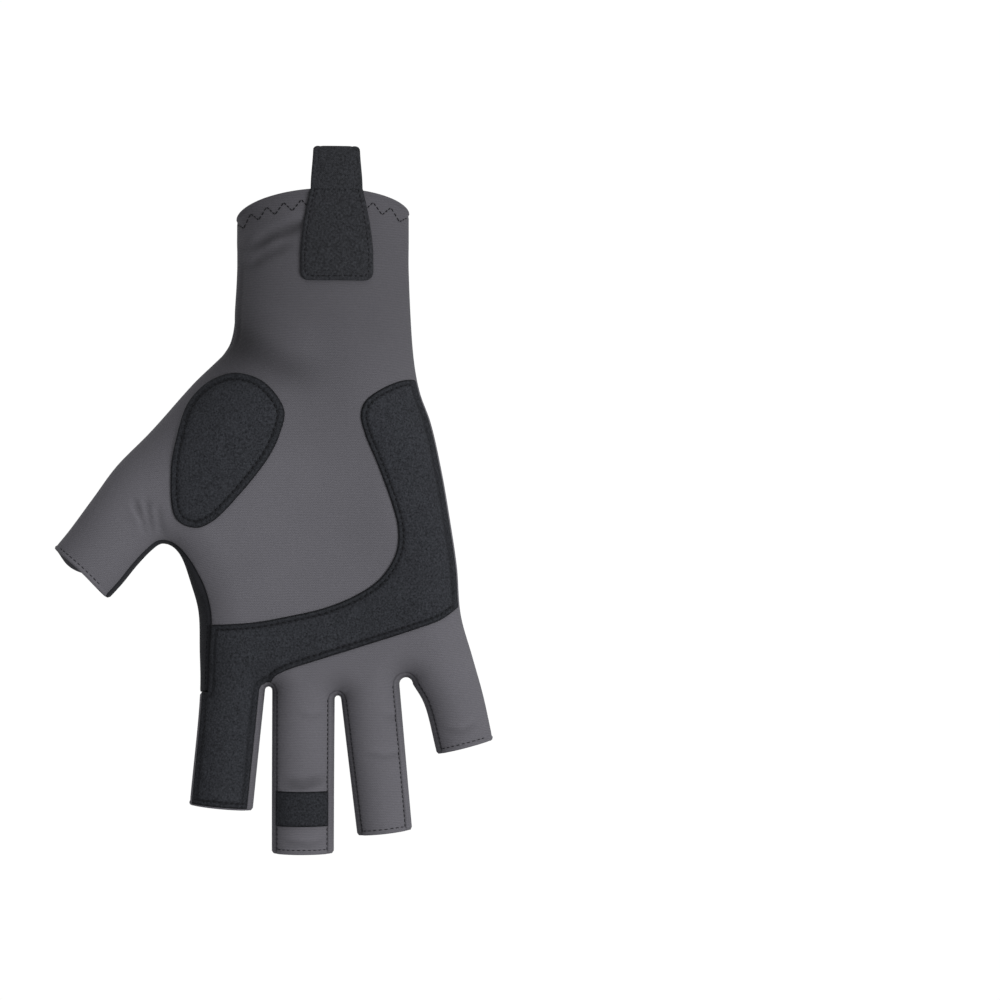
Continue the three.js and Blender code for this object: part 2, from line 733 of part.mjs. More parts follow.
function gussetSheet() {
  const stations = [...[...thumbStations].reverse(), ...webStations.slice(1, -1)];
  const inset = (face) => (length) => gussetInset(length, face);
  return stripSheet(web, stations, inset('front'), inset('back'), [1, 0.35, 0], [0.06, 0.25, 0.56, 1]);
}

// Patches: a layer over the palm panel, cut to an outline

const palmPoint = ({ across, down }) => new THREE.Vector2(across * knuckleSpan, -down * HAND_LENGTH);

function smoothEdge(table, steps) {
  return new THREE.SplineCurve(table.map(palmPoint)).getSpacedPoints(steps);
}

function palmPatchOutline() {
  const [sideFrom, sideTo] = [PATCH_LOWER_EDGE.at(-1), PATCH_INNER_EDGE[0]].map(palmPoint)
    .map((point) => outerSide.nearest(point.x, point.y).length);
  const side = evenShares(SIDE_EDGE_STEPS)
    .map((share) => outerSide.inset(lerp(sideFrom, sideTo, share), PATCH_SIDE_INSET));
  const hem = indexFinger.baseLeft.clone().sub(indexFinger.tipLeft).setLength(PATCH_HEM_INSET);
  const slitSide = slits[0].pointAt(slits[0].crotchStart * 0.5);
  return [
    ...smoothEdge(PATCH_INNER_EDGE.slice(1), INNER_EDGE_STEPS),
    indexFinger.baseLeft.clone().add(new THREE.Vector2(PATCH_SIDE_INSET, 0)),
    indexFinger.tipLeft.clone().add(hem).add(new THREE.Vector2(PATCH_SIDE_INSET, 0)),
    indexFinger.tipRight.clone().add(hem),
    new THREE.Vector2(slitSide.x, slitSide.z),
    ...smoothEdge(PATCH_LOWER_EDGE.slice(0, -1), LOWER_EDGE_STEPS),
    ...side,
  ];
}

function thenarOutline() {
  const loop = new THREE.CatmullRomCurve3(
    THENAR_OUTLINE.map(palmPoint).map((point) => new THREE.Vector3(point.x, 0, point.y)), true);
  return loop.getSpacedPoints(THENAR_STEPS).slice(0, -1).map((point) => new THREE.Vector2(point.x, point.z));
}

function bandOutline() {
  const finger = fingers[1];
  const low = finger.tipLeft.y + BAND_OVER_HEM;
  const [left, right] = [finger.tipLeft.x + BAND_SIDE_INSET, finger.tipRight.x - BAND_SIDE_INSET];
  return [[left, low], [right, low], [right, low + BAND_HEIGHT], [left, low + BAND_HEIGHT]]
    .map(([x, z]) => new THREE.Vector2(x, z));
}

function toManifold(geometry) {
  const bare = new THREE.BufferGeometry();
  bare.setAttribute('position', geometry.getAttribute('position'));
  if (geometry.index) bare.setIndex(geometry.index);
  const merged = mergeVertices(bare, 1e-4);
  return new wasm.Manifold(new wasm.Mesh({
    numProp: 3,
    vertProperties: new Float32Array(merged.getAttribute('position').array),
    triVerts: new Uint32Array(merged.index.array),
  }));
}

function fromManifold(solid) {
  const { vertProperties, triVerts } = solid.getMesh();
  const geometry = new THREE.BufferGeometry();
  geometry.setAttribute('position', new THREE.Float32BufferAttribute(vertProperties, 3));
  geometry.setIndex([...triVerts]);
  return geometry;
}

// The part of the layer that lies inside an outline of the palm view
function cutLayer(layer, outline) {
  const reach = CUFF_DEPTH * 2;
  const extrusion = { depth: reach * 2, bevelEnabled: false };
  const prism = new THREE.ExtrudeGeometry(new THREE.Shape(outline), extrusion);
  prism.rotateX(Math.PI / 2);
  prism.translate(0, reach, 0);
  return fromManifold(layer.intersect(toManifold(prism)));
}

// The pull tab: a strap over the rim, long outside and short inside

const tabBottom = tabTop - TAB_LENGTH;

function tabWidth(z) {
  const overRim = lerp(TAB_RIM_WIDTH, TAB_TOP_WIDTH, ease(rimTop, tabTop, z));
  const spreadLength = TAB_SPREAD_SHARE * (rimTop - tabBottom);
  const spread = THREE.MathUtils.clamp((rimTop - z) / spreadLength, 0, 1);
  const intoCorner = Math.max(0, tabBottom + TAB_CORNER - z);
  const rounding = TAB_CORNER - Math.sqrt(Math.max(0, TAB_CORNER ** 2 - intoCorner ** 2));
  return lerp(overRim, TAB_BOTTOM_WIDTH, spread) - 2 * rounding;
}

function pullTabGeometry() {
  const outside = LAYER_GAP + TAB_THICKNESS / 2;
  const inside = -(WALL + LAYER_GAP + TAB_THICKNESS / 2);
  const fold = (outside - inside) / 2;
  const crown = tabTop - TAB_THICKNESS / 2 - fold;
  const run = (from, to, steps, out, turn) => evenShares(steps).map((share) => lerp(from, to, share))
    .map((z) => ({ z, out, turn, width: tabWidth(z) }));
  const stations = [
    ...run(tabBottom, tabBottom + TAB_CORNER, TAB_CORNER_STEPS, outside, 0),
    ...run(tabBottom + TAB_CORNER, crown, TAB_FRONT_STEPS, outside, 0).slice(1),
    ...evenShares(FOLD_STEPS).slice(1).map((share) => ({
      z: crown + fold * Math.sin(Math.PI * share),
      out: (outside + inside) / 2 + fold * Math.cos(Math.PI * share),
      turn: Math.PI * share,
      width: TAB_TOP_WIDTH,
    })),
    ...run(crown, rimTop - TAB_INNER_LENGTH, TAB_BACK_STEPS, inside, Math.PI).slice(1)
      .map((station) => ({ ...station, width: tabWidth(Math.max(station.z, rimTop)) })),
  ];
  const sheet = new ClothSheet();
  const up = new THREE.Vector3(0, 0, 1);
  sheet.addGrid(stations.map(({ z, out, turn, width }) => evenShares(TAB_COLUMNS).map((share) => {
    const { point, normal } = surface(new THREE.Vector2(TAB_SHIFT + (share - 0.5) * width, z), 'front');
    const turned = normal.clone().multiplyScalar(Math.cos(turn)).addScaledVector(up, Math.sin(turn));
    return sheet.nodes.push({ point: point.addScaledVector(normal, out), normal: turned, seam: false }) - 1;
  })));
  sheet.finish();
  return sheet.solid(-TAB_THICKNESS / 2, TAB_THICKNESS / 2);
}

// The glove

const glove = new THREE.Group();

function addPiece(name, geometry, color, roughness) {
  geometry.computeVertexNormals();
  const piece = new THREE.Mesh(geometry, new THREE.MeshStandardMaterial({ color, roughness, metalness: 0 }));
  piece.name = name;
  glove.add(piece);
}

const palmSheet = panelSheet('front');
addPiece('palm_panel', palmSheet.solid(-WALL, 0), CLOTH_GREY, 0.85);
addPiece('back_panel', panelSheet('back').solid(-WALL, 0), CLOTH_GREY, 0.85);
['index_middle', 'middle_ring', 'ring_little'].forEach((name, k) => {
  addPiece(`fourchette_${name}`, fourchetteSheet(k).solid(-WALL, 0), CLOTH_GREY, 0.85);
});
addPiece('thumb_gusset', gussetSheet().solid(-WALL, 0), MESH_BLACK, 0.9);

const patchLayer = toManifold(palmSheet.solid(LAYER_GAP, LAYER_GAP + PATCH_THICKNESS));
addPiece('palm_patch', cutLayer(patchLayer, palmPatchOutline()), SUEDE_BLACK, 0.95);
addPiece('thenar_patch', cutLayer(patchLayer, thenarOutline()), SUEDE_BLACK, 0.95);
addPiece('finger_band', cutLayer(patchLayer, bandOutline()), SUEDE_BLACK, 0.95);
addPiece('pull_tab', pullTabGeometry(), STRAP_BLACK, 0.9);

export default glove;
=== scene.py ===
"""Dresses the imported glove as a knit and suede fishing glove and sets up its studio.

Sizes are in millimetres. A point of the palm view is (x, z), and a point in space is (x, y, z).
Meshes are written in metres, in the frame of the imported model.
"""

import logging
import math
from dataclasses import dataclass, field
from enum import Enum
from typing import Any, NamedTuple, Sequence

import bpy
import numpy as np
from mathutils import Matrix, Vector, geometry


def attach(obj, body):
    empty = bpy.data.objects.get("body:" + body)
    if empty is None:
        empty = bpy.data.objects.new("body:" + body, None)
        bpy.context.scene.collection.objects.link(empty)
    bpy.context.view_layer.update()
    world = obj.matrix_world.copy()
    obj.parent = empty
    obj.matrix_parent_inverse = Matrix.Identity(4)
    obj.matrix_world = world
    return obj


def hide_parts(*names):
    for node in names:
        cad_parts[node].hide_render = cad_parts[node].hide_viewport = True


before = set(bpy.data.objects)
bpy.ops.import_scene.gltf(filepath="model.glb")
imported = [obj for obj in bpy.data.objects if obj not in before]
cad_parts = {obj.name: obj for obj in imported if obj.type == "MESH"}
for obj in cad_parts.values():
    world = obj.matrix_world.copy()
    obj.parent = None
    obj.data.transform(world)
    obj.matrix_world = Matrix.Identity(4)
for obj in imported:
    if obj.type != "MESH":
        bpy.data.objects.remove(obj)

LOG = logging.getLogger("glove")
METRES = 0.001
WALL = 1.2
BODY = "root"
CHUNK = 4_000_000


class Face(Enum):
    """The two sides of the hand, with the sign of their depth."""

    PALM = -1
    BACK = 1


class Slot(Enum):
    """Material slots of the record."""

    SHELL = "shell_grey"
    PATCH = "patch_black"
    WEB = "web_black"
    TAB = "tab_black"
    THREAD = "seam_thread"
    PRINT = "print_lime"


def ease(start: float, end: float, value: np.ndarray) -> np.ndarray:
    """Runs smoothly from 0 to 1 as the value goes from start to end.

    Args:
        start: Where the result is 0.
        end: Where the result is 1, above or below start.
        value: The values to turn into shares.

    Returns:
        The eased shares.
    """
    share = np.clip((np.asarray(value, float) - start) / (end - start), 0.0, 1.0)
    return share * share * (3.0 - 2.0 * share)


def bump(distance: np.ndarray, width: float) -> np.ndarray:
    """A soft hump that is 1 at distance 0 and fades over the width."""
    return np.exp(-((distance / width) ** 2))


class Nearest(NamedTuple):
    """Where the nearest point of a path lies: its distance, segment, share of the segment and side."""

    distance: np.ndarray
    segment: np.ndarray
    share: np.ndarray
    side: np.ndarray


def nearest_on_path(points: np.ndarray, path: np.ndarray) -> Nearest:
    """Finds the nearest point of a path of straight segments.

    Args:
        points: Rows of coordinates, in two or three dimensions.
        path: The path's corners in the same dimensions.

    Returns:
        The nearest places. The side is positive on the left of a path in two dimensions.
    """
    starts, runs = path[:-1], np.diff(path, axis=0)
    squares = np.maximum((runs**2).sum(1), 1e-12)
    step = max(1, CHUNK // len(starts))
    found: list[tuple[np.ndarray, ...]] = []
    for first in range(0, len(points), step):
        offsets = points[first : first + step, None, :] - starts[None, :, :]
        shares = np.clip((offsets * runs).sum(2) / squares, 0.0, 1.0)
        gaps = offsets - runs * shares[:, :, None]
        distances = (gaps**2).sum(2)
        best = distances.argmin(1)
        rows = np.arange(len(best))
        run, offset = runs[best], offsets[rows, best]
        side = np.sign(run[:, 0] * offset[:, 1] - run[:, 1] * offset[:, 0])
        found.append((np.sqrt(distances[rows, best]), best, shares[rows, best], side))
    return Nearest(*(np.concatenate(part) for part in zip(*found)))


def path_lengths(path: np.ndarray) -> np.ndarray:
    """Length along a path at each of its points."""
    return np.concatenate([[0.0], np.cumsum(np.linalg.norm(np.diff(path, axis=0), axis=1))])


def resample(path: np.ndarray, count: int) -> np.ndarray:
    """Puts a number of points evenly along a path.

    Args:
        path: The path's corners.
        count: How many points.

    Returns:
        The points, with both ends of the path.
    """
    lengths = path_lengths(path)
    wanted = np.linspace(0.0, lengths[-1], count)
    return np.stack([np.interp(wanted, lengths, column) for column in path.T], axis=1)


def smooth_curve(corners: np.ndarray, step: float, closed: bool = False) -> np.ndarray:
    """Draws a centripetal curve through corners.

    Args:
        corners: The points that the curve goes through.
        step: Distance between the points of the result.
        closed: Whether the last corner is joined to the first.

    Returns:
        Points along the curve. A closed curve doesn't repeat its first point.
    """
    if closed:
        padded = np.concatenate([corners[-1:], corners, corners[:2]])
    else:
        head, tail = 2 * corners[0] - corners[1], 2 * corners[-1] - corners[-2]
        padded = np.concatenate([head[None], corners, tail[None]])
    shares = np.linspace(0.0, 1.0, 40, endpoint=False)[:, None]
    pieces = []
    for a, b, c, d in zip(padded, padded[1:], padded[2:], padded[3:]):
        gaps = [max(1e-4, math.sqrt(np.linalg.norm(q - p))) for p, q in ((a, b), (b, c), (c, d))]
        start = (b - a) / gaps[0] - (c - a) / (gaps[0] + gaps[1]) + (c - b) / gaps[1]
        end = (c - b) / gaps[1] - (d - b) / (gaps[1] + gaps[2]) + (d - c) / gaps[2]
        start, end = start * gaps[1], end * gaps[1]
        cubic = 2 * b - 2 * c + start + end
        square = -3 * b + 3 * c - 2 * start - end
        pieces.append(b + start * shares + square * shares**2 + cubic * shares**3)
    curve = np.concatenate([*pieces, (corners[:1] if closed else corners[-1:])])
    even = resample(curve, max(2, math.ceil(path_lengths(curve)[-1] / step) + 1))
    return even[:-1] if closed else even


@dataclass
class SideLine:
    """An edge of the glove in the palm view, walked with the cloth on its left."""

    points: np.ndarray
    rounds: np.ndarray

    def __post_init__(self) -> None:
        """Measures the line."""
        self.lengths = path_lengths(self.points)
        self.total = float(self.lengths[-1])

    def at(self, lengths: np.ndarray) -> np.ndarray:
        """Points at these lengths along the line."""
        return np.stack([np.interp(lengths, self.lengths, column) for column in self.points.T], axis=1)

    def inset(self, lengths: np.ndarray, distances: np.ndarray | float) -> np.ndarray:
        """Points that lie these distances in from the line, at these lengths along it.

        Args:
            lengths: Lengths along the line.
            distances: Distance in from it, one for all or one each.

        Returns:
            The points.
        """
        lengths = np.clip(np.atleast_1d(np.asarray(lengths, float)), 0.0, self.total)
        runs = self.at(lengths + 0.6) - self.at(lengths - 0.6)
        runs /= np.linalg.norm(runs, axis=1)[:, None]
        inward = np.stack([-runs[:, 1], runs[:, 0]], axis=1)
        return self.at(lengths) + inward * np.broadcast_to(distances, lengths.shape)[:, None]

    def nearest(self, points: np.ndarray) -> tuple[np.ndarray, np.ndarray, np.ndarray]:
        """Signed distance from the line, with the rounding radius and the length along it there.

        Args:
            points: Points (x, z).

        Returns:
            The distances, positive over the cloth, the radii and the lengths.
        """
        found = nearest_on_path(points, self.points)
        mix = lambda values: values[found.segment] + np.diff(values)[found.segment] * found.share
        return found.distance * found.side, mix(self.rounds), mix(self.lengths)


class Finger(NamedTuple):
    """A finger: its widths and length as shares of the glove's finger, its lean in degrees, its drop."""

    width: float
    tip_width: float
    length: float
    lean: float
    base_drop: float


class Slit(NamedTuple):
    """A slit between fingers, in shares of the finger's width."""

    radius: float
    rise: float
    flare: float


class FingerCorners(NamedTuple):
    """Corners of a finger in the palm view, and its rounding radius."""

    base_left: np.ndarray
    base_right: np.ndarray
    tip_left: np.ndarray
    tip_right: np.ndarray
    round: float


@dataclass
class HandForm:
    """The round body that the cloth lies on: a depth on both sides of a middle plane."""

    cuff_width: float = 61.8
    cuff_depth: float = 42.0
    cuff_length: float = 46.0
    outer_wrist_drop: float = 54.4
    wrist_width: float = 65.4
    wrist_depth: float = 39.0
    palm_rim_rise: float = 8.0
    back_rim_rise: float = 4.0
    rim_thumb_drop: float = 4.0
    rim_outer_drop: float = 1.5
    hand_length: float = 175.0
    palm_depth: float = 31.0
    knuckle_depth: float = 25.0
    knuckle_shift: float = 7.0
    swell_radius: float = 25.0
    finger_width: float = 22.4
    finger_length: float = 56.3
    finger_depth: float = 18.4
    finger_curl: float = 7.0
    curl_start: float = 44.0
    thumb_reach: float = 85.7
    thumb_drop: float = 131.3
    thumb_width: float = 26.4
    thumb_depth: float = 22.0
    thumb_lean: float = 43.0
    thumb_forward: float = 9.0
    thumb_hem_bow: float = 2.2
    crotch_reach: float = 57.5
    crotch_drop: float = 120.8
    cuff_round: float = 30.0
    palm_side_round: float = 17.0
    crotch_round: float = 14.0
    surface_top: float = 21.45
    line_step: float = 1.2
    slit_arc_points: int = 25
    rim_crowding: float = 0.75
    rim_arch: float = 0.6
    fingers: tuple[Finger, ...] = (
        Finger(1.045, 1.013, 0.714, -5.4, 0.0),
        Finger(1.0, 0.991, 1.0, 0.0, 0.0),
        Finger(0.937, 0.88, 0.874, 6.2, 0.0),
        Finger(0.973, 0.924, 0.286, 14.4, 0.13),
    )
    slits: tuple[Slit, ...] = (
        Slit(0.058, 0.13, 0.0),
        Slit(0.051, -0.013, 0.0),
        Slit(0.107, 0.277, 0.17),
    )
    flare_down: float = 0.28
    flare_share: float = 0.42
    swells: tuple[tuple[float, float, float], ...] = (
        (-0.3, 0.54, 4.0),
        (0.3, 0.52, 2.5),
        (0.02, 0.68, -2.5),
    )
    thumb_side_table: tuple[tuple[float, float, float], ...] = (
        (0.042, 0.077, 0.18), (0.226, 0.231, 0.42), (0.471, 0.458, 0.71),
        (0.655, 0.618, 0.89), (0.781, 0.765, 0.98), (0.924, 0.925, 1.0),
    )
    outer_side_table: tuple[tuple[float, float, float], ...] = (
        (0.839, 0.882, 0.89), (0.679, 0.763, 0.73), (0.622, 0.618, 0.52),
        (0.522, 0.478, 0.37), (0.406, 0.338, 0.31), (0.245, 0.19, 0.26),
        (0.088, 0.099, 0.16),
    )
    underside_table: tuple[tuple[float, float, float], ...] = (
        (0.26, 0.27, 0.0), (0.54, 0.6, 0.0), (0.82, 0.88, 0.4),
    )
    web_table: tuple[tuple[float, float, float], ...] = (
        (0.24, 0.01, 0.0), (0.42, 0.048, 0.17), (0.56, 0.108, 0.33),
        (0.75, 0.265, 0.83), (0.94, 0.46, 1.0), (0.98, 0.72, 0.17),
    )

    def __post_init__(self) -> None:
        """Works out the corners and the side lines."""
        gaps = [(2 * slit.radius + slit.flare) * self.finger_width for slit in self.slits]
        widths = [finger.width * self.finger_width for finger in self.fingers]
        self.knuckle_span = sum(widths) + sum(gaps)
        self.corners = self._finger_corners(widths, [*gaps, 0.0])
        lean = math.radians(self.thumb_lean)
        self.thumb_along = np.array([-math.sin(lean), -math.cos(lean)])
        self.thumb_across = np.array([math.cos(lean), -math.sin(lean)])
        self.thumb_tip = np.array([-self.thumb_reach, -self.thumb_drop])
        self.crotch = np.array([-self.crotch_reach, -self.crotch_drop])
        self.thumb_side = self._thumb_side()
        self.outer_side = self._outer_side()
        self.web = self._web()
        self.slit_lines = [self._slit(k) for k in range(len(self.slits))]
        self.lines = [self.thumb_side, self.web, *self.slit_lines, self.outer_side]
        self.thumb_rim_length = self.surface_top + self.rim_thumb_drop
        self.outer_rim_length = self.outer_side.total - self.surface_top - self.rim_outer_drop

    def _finger_corners(self, widths: Sequence[float], gaps: Sequence[float]) -> list[FingerCorners]:
        """Sets the fingers side by side along the knuckle row.

        Args:
            widths: The fingers' widths.
            gaps: The gap after each finger.

        Returns:
            The fingers' corners.
        """
        left = self.knuckle_shift - self.knuckle_span / 2
        corners = []
        for finger, width, gap in zip(self.fingers, widths, gaps):
            lean = math.radians(finger.lean)
            along = np.array([math.sin(lean), -math.cos(lean)])
            across = np.array([math.cos(lean), math.sin(lean)])
            drop = finger.base_drop * self.finger_width
            base = np.array([left + width / 2, -self.hand_length - drop])
            tip = base + along * finger.length * self.finger_length
            half, tip_half = across * width / 2, across * finger.tip_width * self.finger_width / 2
            row = (base - half, base + half, tip - tip_half, tip + tip_half, width / 2)
            corners.append(FingerCorners(*row))
            left += width + gap
        return corners

    @staticmethod
    def _between(
        start: Sequence[float], end: Sequence[float], table: Sequence[Sequence[float]]
    ) -> list[list[float]]:
        """Rows of a table of shares (across, down, round) turned into points (x, z, round)."""
        return [[a + (b - a) * share for a, b, share in zip(start, end, row)] for row in table]

    def _line(self, corners: Sequence[Sequence[float]], smooth: bool = True) -> SideLine:
        """Makes a side line through corners (x, z, round).

        Args:
            corners: The corners.
            smooth: Whether a curve is drawn through them.

        Returns:
            The line.
        """
        table = np.array([list(corner) for corner in corners], float)
        if smooth:
            table = smooth_curve(table, self.line_step)
        return SideLine(table[:, :2], table[:, 2])

    def _thumb_side(self) -> SideLine:
        """The line from the rim down the wrist to the thumb's upper corner.

        Returns:
            The line.
        """
        edge, top = -self.cuff_width / 2, self.surface_top
        upper = self.thumb_tip - self.thumb_across * self.thumb_width / 2
        wrist = (-self.wrist_width / 2, -self.cuff_length, self.cuff_round)
        thumb = (*upper, self.thumb_width / 2)
        heights = (top, -self.cuff_length * 0.25, -self.cuff_length * 0.5)
        cuff = [(edge, z, self.cuff_round) for z in heights]
        return self._line([*cuff, wrist, *self._between(wrist, thumb, self.thumb_side_table), thumb])

    def _outer_side(self) -> SideLine:
        """The line from the little finger's tip up to the rim.

        Returns:
            The line.
        """
        edge, little = self.cuff_width / 2, self.corners[-1]
        wrist = (self.wrist_width / 2, -self.outer_wrist_drop, self.cuff_round)
        finger = (*little.base_right, little.round)
        heights = (-self.cuff_length * 0.5, -self.cuff_length * 0.25, self.surface_top)
        cuff = [(edge, z, self.cuff_round) for z in heights]
        between = self._between(wrist, finger, self.outer_side_table)
        return self._line([(*little.tip_right, little.round), finger, *between, wrist, *cuff])

    def _web(self) -> SideLine:
        """The line under the thumb, round the crotch and down the index finger.

        Returns:
            The line.
        """
        lower = self.thumb_tip + self.thumb_across * self.thumb_width / 2
        index = self.corners[0]
        thumb = (*lower, self.thumb_width / 2)
        crotch = (*self.crotch, self.crotch_round)
        side = self._between(crotch, (*index.base_left, self.palm_side_round), self.web_table)
        under = self._between(thumb, crotch, self.underside_table)
        ends = [(*index.base_left, index.round), (*index.tip_left, index.round)]
        return self._line([thumb, *under, crotch, *side, *ends])

    def _slit(self, k: int) -> SideLine:
        """The line up one finger, round the crotch and down the next.

        Args:
            k: The number of the slit.

        Returns:
            The line.
        """
        left, right, slit = self.corners[k], self.corners[k + 1], self.slits[k]
        radius = slit.radius * self.finger_width
        angles = np.linspace(math.pi, 0.0, self.slit_arc_points)
        top = -self.hand_length + slit.rise * self.finger_width
        centre = (left.base_right[0] + radius, top - radius)
        rounds = np.linspace(left.round, right.round, len(angles))
        arc = [
            (centre[0] + radius * math.cos(a), centre[1] + radius * math.sin(a), r)
            for a, r in zip(angles, rounds)
        ]
        tip = np.array([*right.tip_left, right.round])
        flared = np.array(arc[-1]) + (tip - np.array(arc[-1])) * self.flare_down
        flared[0] += slit.flare * self.finger_width * self.flare_share
        down = smooth_curve(np.array([arc[-1], flared, tip]), self.line_step)
        return self._line([(*left.tip_right, left.round), *arc, *down[1:]], smooth=False)

    def hand_half_depth(self, z: np.ndarray) -> np.ndarray:
        """Half the depth of the hand down its length.

        Args:
            z: Heights.

        Returns:
            Half the depth at each.
        """
        downs = np.array([0.0, 0.27, 0.6, 0.9, 1.1])
        upper = [self.cuff_depth, self.wrist_depth, self.palm_depth]
        halves = np.array([*upper, self.knuckle_depth, self.finger_depth]) / 2
        down = np.clip(-z / self.hand_length, 0.0, downs[-1])
        k = np.clip(np.searchsorted(downs, down), 1, len(downs) - 1)
        share = (down - downs[k - 1]) / (downs[k] - downs[k - 1])
        return halves[k - 1] + (halves[k] - halves[k - 1]) * share * share * (3 - 2 * share)

    def thumb_share(self, points: np.ndarray) -> np.ndarray:
        """1 at the thumb's end and 0 over the palm.

        Args:
            points: Points (x, z).

        Returns:
            The thumb's share at each.
        """
        offsets = points - self.thumb_tip
        back = -(offsets @ self.thumb_along) / self.thumb_width
        aside = np.abs(offsets @ self.thumb_across) / self.thumb_width
        return ease(2.4, 0.6, back) * ease(1.5, 0.55, aside)

    def half_depth(self, points: np.ndarray, face: Face) -> np.ndarray:
        """Half the depth before the sides are rounded.

        Args:
            points: Points (x, z).
            face: Palm or back.

        Returns:
            Half the depth at each point.
        """
        hand = self.hand_half_depth(points[:, 1])
        plain = hand + (self.thumb_depth / 2 - hand) * self.thumb_share(points)
        if face is Face.PALM:
            for across, down, height in self.swells:
                offset = points - np.array([across * self.knuckle_span, -down * self.hand_length])
                plain = plain + height * np.exp(-(offset**2).sum(1) / self.swell_radius**2)
        return plain

    def middle_plane(self, points: np.ndarray) -> np.ndarray:
        """Depth of the plane that the two faces lie on both sides of.

        Args:
            points: Points (x, z).

        Returns:
            The depths.
        """
        start, end = self.curl_start - self.hand_length, -self.hand_length - self.finger_length
        curl = ease(start, end, points[:, 1])
        return -self.finger_curl * curl - self.thumb_forward * self.thumb_share(points)

    def rounding(self, points: np.ndarray) -> np.ndarray:
        """Square of the share of the depth that is left near the side lines.

        Args:
            points: Points (x, z).

        Returns:
            The squares.
        """
        share = np.ones(len(points))
        for line in self.lines:
            distance, round_radius, _ = line.nearest(points)
            inward = np.minimum(1.0, distance / round_radius)
            share *= 2 * inward - inward**2
        return share

    def surface(self, points: np.ndarray, face: Face) -> tuple[np.ndarray, np.ndarray, np.ndarray]:
        """The glove's outer surface over points of the palm view.

        Args:
            points: Points (x, z).
            face: Palm or back.

        Returns:
            Points in space, outward normals, and how much the rounding takes off the depth.
        """
        step = 0.05
        moves = np.array([[0, 0], [step, 0], [-step, 0], [0, step], [0, -step]])
        spread = (points[None] + moves[:, None]).reshape(-1, 2)
        half = self.half_depth(spread, face)
        squares = (half**2 * self.rounding(spread)).reshape(5, -1)
        middles = self.middle_plane(spread).reshape(5, -1)
        depth = np.sqrt(np.maximum(0.0, squares[0]))
        lean = 2 * face.value * depth
        slope = lambda rows, a, b: (rows[a] - rows[b]) / (2 * step)
        normal_x = -slope(squares, 1, 2) - lean * slope(middles, 1, 2)
        normal_z = -slope(squares, 3, 4) - lean * slope(middles, 3, 4)
        normals = np.stack([normal_x, lean, normal_z], axis=1)
        normals /= np.linalg.norm(normals, axis=1)[:, None]
        places = np.stack([points[:, 0], middles[0] + face.value * depth, points[:, 1]], axis=1)
        return places, normals, half.reshape(5, -1)[0] - depth

    def rim(self, face: Face, count: int, drop: float = 0.0) -> np.ndarray:
        """Points along the cuff's rim from the thumb side outwards, or a distance below it.

        Args:
            face: Palm or back.
            count: How many points.
            drop: Distance below the rim.

        Returns:
            The points (x, z).
        """
        left = self.thumb_side.inset([self.thumb_rim_length], 0.0)[0]
        right = self.outer_side.inset([self.outer_rim_length], 0.0)[0]
        even = np.linspace(0.0, 1.0, count)
        share = even + (0.5 - 0.5 * np.cos(math.pi * even) - even) * self.rim_crowding
        path = left + (right - left) * share[:, None]
        rise = self.palm_rim_rise if face is Face.PALM else self.back_rim_rise
        path[:, 1] += rise * np.maximum(0.0, 1 - (2 * share - 1) ** 2) ** self.rim_arch - drop
        return path


class SeamRow(NamedTuple):
    """How far the gusset's palm and back seams lie in from the web line, at a share of its length."""

    along: float
    palm: float
    back: float


@dataclass
class WebSeams:
    """The seams of the thumb gusset."""

    form: HandForm
    rows: tuple[SeamRow, ...] = (
        SeamRow(0.0, 1.0, 12.0),
        SeamRow(0.15, 1.0, 13.5),
        SeamRow(0.29, 1.0, 16.5),
        SeamRow(0.36, 1.2, 14.0),
        SeamRow(0.42, 1.9, 7.5),
        SeamRow(0.48, 3.4, 3.6),
        SeamRow(0.56, 4.8, 2.0),
        SeamRow(0.7, 5.0, 1.2),
        SeamRow(1.0, 3.4, 1.0),
    )
    taper_start: float = 0.996
    blur: int = 47

    def __post_init__(self) -> None:
        """Finds where the gusset ends, at the index finger's root."""
        self.end = float(self.form.web.nearest(self.form.corners[0].base_left[None])[2][0])

    def inset(self, lengths: np.ndarray, face: Face) -> np.ndarray:
        """How far in from the web line the seam lies at these lengths.

        Args:
            lengths: Lengths along the web line.
            face: Palm or back.

        Returns:
            The distances.
        """
        along = np.asarray(lengths, float) / self.end
        even = np.linspace(-0.2, 1.2, 561)
        column = [row.palm if face is Face.PALM else row.back for row in self.rows]
        plain = np.interp(even, [row.along for row in self.rows], column)
        window = np.hanning(self.blur)
        soft = np.convolve(np.pad(plain, self.blur // 2, "edge"), window / window.sum(), "valid")
        return np.interp(along, even, soft) * np.clip((1 - along) / (1 - self.taper_start), 0.0, 1.0)


class Crease(NamedTuple):
    """A fold or groove in the cloth: its path in the palm view, its width and its height."""

    path: np.ndarray
    width: float
    height: float
    ridge: float


